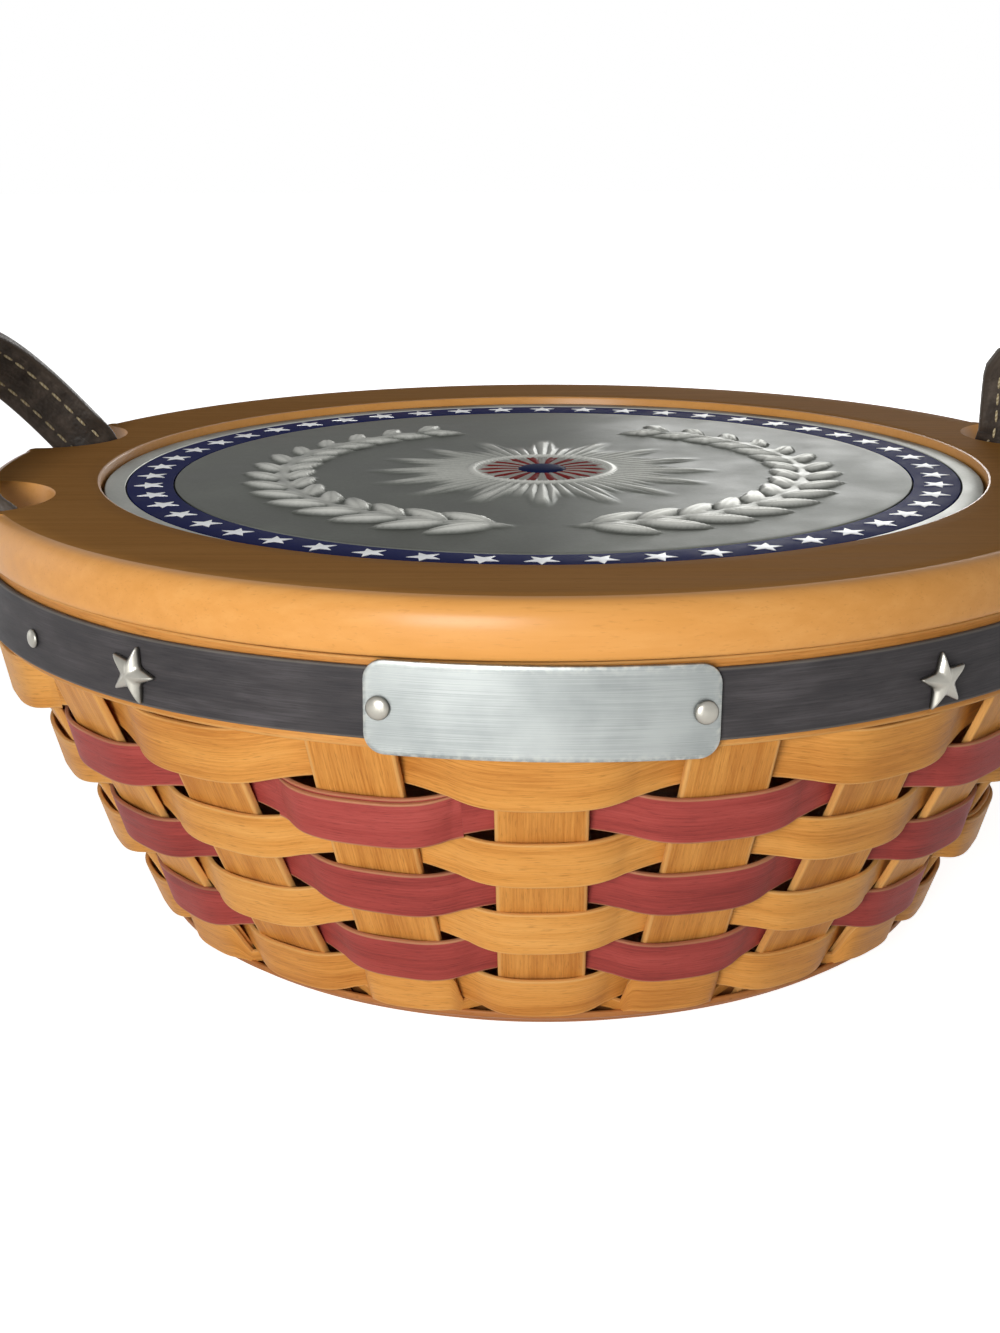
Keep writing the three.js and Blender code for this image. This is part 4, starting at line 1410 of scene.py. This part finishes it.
@dataclass
class Lid:
    """The turned lid board with its four notches, and the medallion let into it."""

    bottom: float = 88.22
    top: float = 98.62
    radius: float = 121.74
    foot_inset: float = 1.0
    top_inset: float = 3.0
    bulge: float = 3.6
    shoulder: float = 0.9
    brow: float = 0.45
    ease: float = 0.14
    lip: float = 0.5
    crease: float = np.radians(30)
    plug_radius: float = 112.68
    plug_bottom: float = 84.22
    plug_ease: float = 0.6
    recess: float = 95.8
    recess_floor: float = 93.52
    notch_radius: float = 17.0
    notch_centre: float = 122.77
    notch_angle: float = np.radians(17.5)
    notch_fillet: float = 3.6
    notch_inset: float = 0.14
    medal_radius: float = 95.0
    medal_bottom: float = 93.82
    medal_top: float = 96.82
    medal_ease: float = 0.3
    medal_crease: float = np.radians(50)
    medal_spans: int = 640
    medal_shine: tuple[float, float, float] = (0.46, 0.12, 0.75)
    field_margin: float = 2.0
    field_rings: int = 118
    relief: Relief = Relief()
    relief_height: float = 1.15
    play: float = 0.3
    enamel: tuple[float, float, float] = (80.5, 90.3, 0.7)
    enamel_crown: float = 0.06
    star_count: int = 50
    star_radius: float = 3.4
    star_waist: float = 0.42
    cockade: float = 14.6
    cockade_lap: float = 0.4
    cockade_dome: tuple[float, float] = (0.35, 0.3)
    cockade_spans: int = 432
    collar: float = 15.5
    button: float = 5.2
    button_dome: tuple[float, float] = (0.45, 0.75)
    pleats: int = 18
    pleat_height: float = 0.26

    def outline(self) -> tuple[np.ndarray, np.ndarray, np.ndarray]:
        """Walks round the lid's edge: outer arcs, a rounded corner at each side of a notch, and notch arcs.

        A corner's circle touches the outer circle from inside and the notch's circle from outside.

        Returns:
            Points of the edge, their outward directions, and 1 on the outer arcs falling to 0 in notches.
        """
        span, fine = 2.2, 10
        inner = self.radius - self.notch_fillet
        reach = self.notch_radius + self.notch_fillet
        away = self.notch_centre
        half = np.arccos((away ** 2 + inner ** 2 - reach ** 2) / (2 * away * inner))
        pair = np.array([-self.notch_angle, self.notch_angle])
        bearings = np.concatenate([pair, np.pi + pair])
        rows = []
        for before, bearing in zip([bearings[-1] - 2 * np.pi, *bearings], bearings):
            notch = around(bearing) * away
            start, end = bearing - half, bearing + half
            corners = [around(turn) * inner for turn in (start, end)]
            first, last = (np.arctan2(*(spot - notch)[[1, 0]]) for spot in corners)
            first, _, last = np.unwrap([first, bearing + np.pi, last])
            inward = np.unwrap([start, first + np.pi])[1]
            outward = np.unwrap([end, last + np.pi])[1]
            spans = max(12, int((bearing - before) * self.radius / span))
            # Centre, radius, first and last bearing, spans, which way is outward, and weights at both ends.
            arcs = ((0 * UP, self.radius, before + half, start, spans, 1, 1, 1),
                    (corners[0], self.notch_fillet, start, inward, fine, 1, 1, 0),
                    (notch, self.notch_radius, first, last, 4 * fine, -1, 0, 0),
                    (corners[1], self.notch_fillet, outward, end, fine, 1, 0, 1))
            for centre, radius, begin, stop, count, way, *ends in arcs:
                normal = around(np.linspace(begin, stop, count + 1))
                weights = np.linspace(*ends, count + 1)[:, None]
                row = np.concatenate([centre + normal * radius, way * normal, weights], axis=1)
                rows.append(row[:-1])
        edge = np.concatenate([*rows, rows[0][:1]])
        return edge[:, :3], edge[:, 3:6], edge[:, 6]

    def build_board(self) -> None:
        """Turns the lid board and cuts its notches.

        The edge's profile is a swelling curve given as inset and height. It is carried round the outline,
        and its inset shrinks to a small easing in the notches. The top then runs in to the recess, and the
        underside to the plug.
        """
        edge, normal, outer = self.outline()
        foot, head = (self.foot_inset, self.bottom), (self.top_inset, self.top)
        side = (0.0, self.bottom + self.bulge)
        profile = np.concatenate([
            quadratic(foot, (0.0, self.bottom), side, 8),
            quadratic(side, (0.0, self.top - self.shoulder), head, 8)[1:-1],
            [(self.top_inset, self.top - self.ease), (self.top_inset + self.brow, self.top)]])
        inset = self.notch_inset + (1 - self.notch_inset) * outer
        sides = edge - profile[:, :1, None] * inset[:, None] * normal + profile[:, 1:, None] * UP
        out = around(np.arctan2(sides[-1, :, 1], sides[-1, :, 0]))
        ring = out * (self.recess + self.lip) + self.top * UP
        across = np.linspace(0, 1, 7)[:, None, None]
        deck = sides[-1] * (1 - across) + ring * across
        wall = np.array([
            (self.recess + self.lip, self.top), (self.recess + self.ease, self.top - self.ease),
            (self.recess, self.top - self.lip), (self.recess, self.recess_floor),
            (self.recess / 2, self.recess_floor), (0.0, self.recess_floor)])
        hollow = wall[:, :1, None] * out + wall[:, 1:, None] * UP
        foot_line = sides[0] * [1, 1, 0]
        reach = np.linalg.norm(foot_line, axis=-1, keepdims=True)
        plug = np.minimum(reach, self.plug_radius) / reach * foot_line
        levels = ((0.0, self.plug_bottom), (0.995, self.plug_bottom),
                  (1.0, self.plug_bottom + self.plug_ease), (1.0, self.bottom))
        under = np.stack([plug * size + level * UP for size, level in levels])
        edge_patch = Patch(np.concatenate([under, sides]), LID_MAPLE)
        # The deck takes the darkened maple as painted shade for the top; the side and the recess wall keep the
        # board's own colour.
        patches = [edge_patch, Patch(deck, SHADED_DECK_MAPLE), Patch(hollow, LID_MAPLE)]
        board = make_piece("turned_lid", patches, self.crease)
        mount(board, Body.LID, Slot.WOOD, "lid_board")

    def build_medallion(self) -> None:
        """Casts the medallion: a turned disc with a cell for the enamel, and the design on its field."""
        inner, outer, depth = self.enamel
        low, high = inner - self.play, outer + self.play
        cell = self.medal_top - depth - self.play
        field_edge = inner - self.field_margin
        bottom, top = self.medal_bottom, self.medal_top
        corners = [(0.0, bottom), (self.medal_radius, bottom), (self.medal_radius, top), (high, top),
                   (high, cell), (low, cell), (low, top), (field_edge, top)]
        rim = eased(corners, self.medal_ease, 3)
        field_end = self.cockade - self.cockade_lap
        rings = np.append(np.linspace(field_edge, field_end, self.field_rings)[1:], 0.0)
        profile = np.concatenate([rim, np.stack([rings, np.full(len(rings), top)], axis=-1)])
        body = turned(profile, MEDAL_METAL, self.medal_spans)
        on_field = (np.arange(len(profile)) >= len(rim)) & (profile[:, 0] > 0)
        x, y, _ = np.moveaxis(body.points, -1, 0)
        raised = self.relief.height(x, y, self.collar) * on_field[:, None]
        body.points = body.points + (raised * self.relief_height)[..., None] * UP
        margin = (profile[:, 0] > outer) & (profile[:, 1] > top - 0.2)
        rim_shine, field_shine, raised_shine = self.medal_shine
        shine = np.where(margin[:, None], rim_shine, field_shine + raised_shine * raised)
        body.values = {"relief": shine}
        piece = make_piece("cast_medallion", [body, self.cockade_patch()], self.medal_crease)
        mount(piece, Body.LID, Slot.PEWTER, "lid_medallion")

    def cockade_patch(self) -> Patch:
        """Makes the pleated cockade at the middle: alternate red and white pleats round a navy button.

        The height is a low dome with pleats as a rectified cosine of the bearing, and the button is a
        half-ellipse.

        Returns:
            The cockade's surface, closed below.
        """
        back = np.array([0.0, self.cockade * 0.99])
        radius = np.concatenate([back, np.linspace(self.cockade, self.button + 0.2, 22),
                                 np.linspace(self.button, 0.0, 10)])[:, None]
        above = np.arange(len(radius))[:, None] >= len(back)
        ring = above & (radius > self.button)
        turn = np.linspace(0, 2 * np.pi, self.cockade_spans + 1)
        pleat = np.cos(self.pleats * turn)
        edge, rise = self.cockade_dome
        dome = edge + rise * np.clip(1 - radius / self.cockade, 0, 1)
        swell = np.sin(np.pi * np.clip((radius - 4) / (self.cockade - 3.2), 0, 1))
        folds = self.pleat_height * np.abs(pleat) ** 0.7 * swell
        edge, rise = self.button_dome
        high = np.where(ring, dome + folds, edge + rise * half_round(radius / self.button))
        high = np.where(above, high, -0.2)
        points = radius[..., None] * around(turn) + (self.medal_top + high)[..., None] * UP
        red = smoothstep(pleat, -0.12, 0.12) * ring
        return Patch(points, COCKADE_ENAMEL, None, {"red": red, "navy": (above & ~ring).astype(float)})

    def build_star_ring(self) -> None:
        """Fills the ring cell with navy enamel and lays the silver stars in it, each a low heap of rings."""
        inner, outer, depth = self.enamel
        middle, bottom = (inner + outer) / 2, self.medal_top - depth
        edge = self.medal_top - self.enamel_crown
        corners = [(inner, bottom), (outer, bottom), (outer, edge), (middle, self.medal_top), (inner, edge)]
        ring = turned(eased(corners, 0.15, 3, True), NAVY_ENAMEL, 360)
        shape = star_corners(self.star_radius, self.star_radius * self.star_waist)
        shape = np.concatenate([shape, shape[:1]])
        # Size and height of each ring of a star.
        rows = np.array([0.0, 1.0, 1.0, 0.88, 0.0])[:, None, None]
        lift = np.array([-0.3, -0.3, 0.08, 0.14, 0.16])[:, None, None]
        bearing = np.arange(self.star_count) * 2 * np.pi / self.star_count + FRONT
        out, side = (around(turn)[:, None, None] for turn in (bearing, bearing + np.pi / 2))
        local = rows * shape
        points = (middle + local[..., :1]) * out + local[..., 1:] * side + (self.medal_top + lift) * UP
        stars = Patch(points, STAR_METAL, None, {"relief": np.full((1, 1, 1), 0.6)})
        piece = make_piece("star_ring", [ring, stars], self.crease)
        mount(piece, Body.LID, Slot.ENAMEL, "medallion_enamel_ring")


# Handles

@dataclass(frozen=True)
class Leg:
    """One leg of a loop: how far it steps outward above the rim, and the height over which it twists."""

    shift: float
    twist: float


@dataclass(frozen=True)
class Loop:
    """The run of one handle's loop above its hinge line, with its legs in the order of the route."""

    side: str
    body: Body
    facing: float
    grain_start: float
    squareness: float
    rise: float
    leg_rise: float
    reach: float
    crown_lean: float
    legs: tuple[Leg, Leg]


@dataclass
class Handles:
    """Two stitched leather straps, each riveted inside the rim and looped up through the lid's notches."""

    strap: Section = Section(13.2, 3.0, 0.75, 14)
    strap_radius: float = 111.67
    strap_rows: int = 190
    leg_angle: float = np.radians(17.5)
    hinge_height: float = 90.552
    rim_top: float = 87.92
    end_length: float = 13.0
    twist_start: float = -2.0
    shift_rise: float = 9.0
    stitch_row: float = 3.1
    stitch_pitch: float = 4.1
    stitch_start: float = 4.0
    stitch: tuple[float, float, float] = (2.9, 0.6, 0.42)
    stitch_sink: float = 0.02
    groove_depth: float = 0.14
    groove_half: float = 0.45
    rivet_radius: float = 3.0
    rivet_height: float = 81.92
    bend_span: tuple[float, float] = (86.5, 94.5)
    gap: float = 0.3
    loops: tuple[Loop, ...] = (
        Loop("left", Body.LEFT, np.pi, 40.0, 2.6, 33.0, 4.5, 24.0, np.radians(40),
             (Leg(7.0, 36.0), Leg(0.0, 12.0))),
        Loop("right", Body.RIGHT, 0.0, 310.0, 4.0, 35.0, 24.0, 26.0, np.radians(10),
             (Leg(3.0, 12.0), Leg(3.0, 12.0))),
    )

    def __post_init__(self) -> None:
        """Works out how far the riveted ends hang below the hinge line."""
        self.drop = self.rim_top - self.end_length - self.hinge_height

    def line(self, loop: Loop) -> np.ndarray:
        """Follows a strap's middle from one riveted end up through the loop and down to the other.

        The loop is a superellipse from foot to foot, pushed outward with height, and a moving average with a
        bell-shaped weight softens it. Local axes: X outward from the hinge line, Y along it, Z up.

        Args:
            loop: The loop's run.

        Returns:
            Closely spaced points.
        """
        samples, soft_half = 2400, 30
        arch_points, tail_points = 1601, 60
        spread = self.strap_radius * np.sin(self.leg_angle)
        power = 2 / loop.squareness
        turn = np.linspace(0, np.pi, arch_points)
        lift = loop.rise * np.abs(np.sin(turn)) ** power
        bend = np.maximum(0, lift - loop.leg_rise) / (loop.rise - loop.leg_rise)
        shift = np.where(turn < np.pi / 2, *(leg.shift for leg in loop.legs))
        out = shift * smoothstep(lift, 0, self.shift_rise) + (loop.reach - shift) * bend
        apart = spread * np.sign(np.cos(turn)) * np.abs(np.cos(turn)) ** power
        arch = np.stack([out, apart, lift], axis=-1)
        tail = np.linspace(self.drop, 0, tail_points)[:-1]
        first = np.stack([np.zeros_like(tail), np.full_like(tail, spread), tail], axis=-1)
        path = np.concatenate([first, arch, first[::-1] * [1, -1, 1]])
        along = travel(path)
        even = sampled(np.linspace(0, along[-1], samples + 1), along, path)
        padded = np.concatenate([2 * even[:1] - even[soft_half:0:-1], even,
                                 2 * even[-1:] - even[-2:-soft_half - 2:-1]])
        weight = np.hanning(2 * soft_half + 1)
        weight = weight / weight.sum()
        return np.stack([np.convolve(axis, weight, "valid") for axis in padded.T], axis=-1)

    def route(self, loop: Loop) -> tuple[np.ndarray, np.ndarray, np.ndarray, np.ndarray]:
        """Turns the strap along its line: flat to the rim at its ends, edge outward above the hinge line.

        Args:
            loop: The loop's run.

        Returns:
            Points, unit vectors across the width and through it, and the distance from the nearer tip.
        """
        soft = self.line(loop)
        along = travel(soft)
        whole, tip = along[-1], self.strap.width / 2
        ends = tip * (1 - np.cos(np.linspace(0, np.pi / 2, 10)))
        run = np.linspace(tip, whole - tip, self.strap_rows)[1:-1]
        where = np.concatenate([ends, run, whole - ends[::-1]])
        centre = sampled(where, along, soft)
        ahead = unit(sampled(where, along, np.gradient(soft, axis=0)))
        from_tip = np.minimum(where, whole - where)
        end = np.where(where < whole / 2, 1.0, -1.0)
        flat = np.stack([np.full_like(end, -np.sin(self.leg_angle)), end * np.cos(self.leg_angle),
                         np.zeros_like(end)], axis=-1)
        crown = np.array([-np.cos(loop.crown_lean), 0, np.sin(loop.crown_lean)])
        rolls = (smoothstep(from_tip + self.drop, self.twist_start, leg.twist) for leg in loop.legs)
        roll = (np.pi / 2 * np.where(end > 0, *rolls))[:, None]
        across = flat * np.cos(roll) + crown * np.sin(roll)
        across = unit(across - ahead * (across * ahead).sum(axis=-1, keepdims=True))
        return centre, across, np.cross(ahead, across), from_tip

    def stitches(self, centre: np.ndarray, across: np.ndarray, face: np.ndarray) -> Patch:
        """Sews two rows of stitches through the strap, seen on both faces.

        Each stitch is a grain-shaped ellipsoid, half sunk in the leather.

        Args:
            centre: Points of the strap's path.
            across: Unit vectors across its width.
            face: Unit vectors through its thickness.

        Returns:
            All the stitches.
        """
        along = travel(centre)
        first = self.end_length + self.stitch_start
        places = np.arange(first, along[-1] - first, self.stitch_pitch)
        middle, wide, deep = (sampled(places, along, held) for held in (centre, across, face))
        wide, deep = unit(wide), unit(deep)
        length, width, height = self.stitch
        bow, girth = np.linspace(0, np.pi, 7)[:, None], np.linspace(0, 2 * np.pi, 9)[None]
        full = np.sin(bow) ** 0.6
        grain = np.stack(np.broadcast_arrays(
            -length / 2 * np.cos(bow), width / 2 * full * np.cos(girth),
            height / 2 * full * np.sin(girth)), axis=-1)
        axes = np.stack([np.cross(wide, deep), wide, deep], axis=1)[:, None]
        top = self.strap.thickness / 2 - self.stitch_sink
        seats = [middle + wide * self.stitch_row * row + deep * way * top
                 for row in (-1, 1) for way in (-1, 1)]
        points = np.concatenate([seat[:, None, None] + grain @ axes for seat in seats])
        flat = np.stack([grain[..., 0], grain[..., 1] + grain[..., 2]], axis=-1)
        return Patch(points, STITCH_THREAD, np.broadcast_to(flat, (*points.shape[:-1], 2)))

    def build_strap(self, loop: Loop) -> None:
        """Makes one strap with its stitches, running from inside the basket's rim up through its loop, on no
        body.

        The tips are half round, and a shallow groove runs under each row of stitches.

        Args:
            loop: The loop's run.
        """
        side = loop.side
        centre, across, face, from_tip = self.route(loop)
        tip = self.strap.width / 2
        wide = np.sqrt(np.clip(1 - (np.clip(tip - from_tip, 0, tip) / tip) ** 2, 1e-6, 1))
        leather = sweep(centre, across, face, self.strap, STRAP_LEATHER, wide=wide,
                        shift=(loop.grain_start, 0.0))
        place, depth, *_ = self.strap.outline()
        groove = self.groove_depth * np.exp(-((np.abs(place) - self.stitch_row) / self.groove_half) ** 2)
        leather.points = leather.points - face[:, None] * (np.sign(depth) * groove)[:, None]
        patches = [closed_ends(leather), self.stitches(centre, across, face)]
        hinge = np.array([self.strap_radius * np.cos(self.leg_angle), 0, 0])
        spin = np.stack([around(loop.facing), around(loop.facing + np.pi / 2), UP])
        for patch in patches:
            patch.points = (patch.points + hinge) @ spin + self.hinge_height * UP
        piece = make_piece(f"strap_{side}", patches)
        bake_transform(piece)
        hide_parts(f"handle_{side}", f"strap_end_{side}_front", f"strap_end_{side}_back")
        LOG.info("%s bends between basket and %s", piece.name, loop.body.value)

    def build(self, rim: Rim) -> None:
        """Makes both straps and the rivets that hold their ends.

        Args:
            rim: The rim, which seats the rivets.
        """
        for loop in self.loops:
            self.build_strap(loop)
        back = self.strap_radius - self.strap.thickness / 2 - self.gap
        for loop in self.loops:
            for face, way in (("front", -1), ("back", 1)):
                turn = way * self.leg_angle
                bearing = loop.facing + (turn if loop.body is Body.RIGHT else -turn)
                head = rim.seat(domed(self.rivet_radius), back, bearing, self.rivet_height, inward=True)
                rivet = make_piece(f"strap_stud_{loop.side}_{face}", [head])
                mount(rivet, Body.BASKET, Slot.PEWTER, f"strap_rivet_{loop.side}_{face}")


# Studio

@dataclass(frozen=True)
class Lamp:
    """A soft square panel lamp: its place and size in metres and the level of light it gives."""

    name: str
    place: tuple[float, float, float]
    size: float
    level: float


@dataclass
class Studio:
    """A pale floor, soft low panels and the camera, in metres."""

    lens: float = 53.59
    sensor: float = 36.0
    clip_start: float = 0.01
    camera: tuple[float, float, float] = (0.0, -0.432787, 0.17935)
    pitch: float = 0.2866
    yaw: float = -0.0220
    roll: float = -0.0053
    ambient: float = 0.06
    floor_half: float = 3.0
    floor_tint: str = "#f2f2f0"
    floor_glow: float = 0.84
    floor_fade: tuple[float, float] = (0.22, 0.60)
    aim: tuple[float, float, float] = (0.0, 0.0, 0.07)
    lamps: tuple[Lamp, ...] = (
        Lamp("front_panel", (-0.16, -0.66, 0.20), 0.22, 0.70),
        Lamp("left_panel", (-1.05, 0.25, 0.20), 0.5, 0.07),
        Lamp("right_panel", (1.05, 0.35, 0.20), 0.5, 0.015),
        Lamp("back_panel", (0.30, 1.10, 0.20), 0.5, 0.35),
    )

    def build_lamps(self) -> None:
        """Hangs the panels. A lamp's power is pi squared times its distance squared times its level."""
        for lamp in self.lamps:
            light = bpy.data.lights.new(lamp.name, "AREA")
            light.size = lamp.size
            away = np.array(lamp.place) - np.array(self.aim)
            light.energy = float(np.pi ** 2 * (away @ away) * lamp.level)
            back = unit(away)
            right = unit(np.cross(UP, back))
            stand(show(lamp.name, light), (right, np.cross(back, right), back), lamp.place)

    def build_world(self) -> None:
        """Surrounds the scene with white for what is seen or mirrored, and with dim light for the rest."""
        world = bpy.data.worlds.new("white_room")
        tree = blank_tree(world)
        shown = shown_rays(tree)
        dim = add(tree, "Background", {}, {"Color": (1, 1, 1, 1), "Strength": self.ambient})
        white = add(tree, "Background", {}, {"Color": (1, 1, 1, 1), "Strength": 1.0})
        both = add(tree, "MixShader", {}, {0: shown, 1: dim, 2: white})
        add(tree, "OutputWorld", {}, {"Surface": both})
        bpy.context.scene.world = world

    def build_floor(self) -> None:
        """Lays the floor: matt and pale, with a glow for what is seen or mirrored, so it keeps the shadow.

        The glow rises to white away from the basket, where the lamps hardly reach.
        """
        half = self.floor_half
        mesh = bpy.data.meshes.new("pale_floor")
        corners = [(-half, -half, 0), (half, -half, 0), (half, half, 0), (-half, half, 0)]
        mesh.from_pydata(corners, [], [(0, 1, 2, 3)])
        matt = bpy.data.materials.new("painted_floor_matt")
        tree = blank_tree(matt)
        shown = shown_rays(tree)
        away = add(tree, "VectorMath", {"operation": "LENGTH"}, {0: add(tree, "TexCoord").outputs["Object"]})
        near, far = self.floor_fade
        level = add(tree, "MapRange", {"interpolation_type": "SMOOTHSTEP"}, {
            "Value": away, "From Min": near, "From Max": far, "To Min": self.floor_glow})
        glow = add(tree, "Math", {"operation": "MULTIPLY"}, {0: shown, 1: level})
        paint = add(tree, "BsdfDiffuse", {}, {"Color": linear(self.floor_tint)})
        light = add(tree, "Emission", {}, {"Color": (1, 1, 1, 1), "Strength": glow})
        both = add(tree, "AddShader", {}, {0: paint, 1: light})
        add(tree, "OutputMaterial", {}, {"Surface": both})
        mesh.materials.append(matt)
        floor = show("pale_floor", mesh)

    def build_camera(self) -> None:
        """Sets the camera from its place and its pitch, yaw and roll."""
        ahead = np.array([np.sin(self.yaw), np.cos(self.yaw), 0])
        right = np.array([np.cos(self.yaw), -np.sin(self.yaw), 0])
        look = ahead * np.cos(self.pitch) - UP * np.sin(self.pitch)
        over = UP * np.cos(self.pitch) + ahead * np.sin(self.pitch)
        axes = (right * np.cos(self.roll) + over * np.sin(self.roll),
                over * np.cos(self.roll) - right * np.sin(self.roll), -look)
        data = bpy.data.cameras.new("front_camera")
        data.lens = self.lens
        data.sensor_width = self.sensor
        data.clip_start = self.clip_start
        camera = show("front_camera", data)
        stand(camera, axes, self.camera)
        bpy.context.scene.camera = camera

    def build(self) -> None:
        """Makes the camera, floor, world and lamps, and shows colours as they are."""
        self.build_camera()
        self.build_floor()
        self.build_world()
        self.build_lamps()
        bpy.context.scene.view_settings.view_transform = "Standard"


def main() -> None:
    """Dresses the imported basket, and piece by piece."""
    logging.basicConfig(level=logging.INFO, format="%(name)s: %(message)s")
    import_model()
    Studio().build()
    wall = WovenWall()
    wall.build_base()
    wall.build_uprights()
    wall.build_weavers()
    rim = Rim()
    rim.build_hoops()
    rim.build_plate()
    rim.build_studs()
    lid = Lid()
    lid.build_board()
    lid.build_medallion()
    lid.build_star_ring()
    Handles().build(rim)


if __name__ == "__main__":
    main()
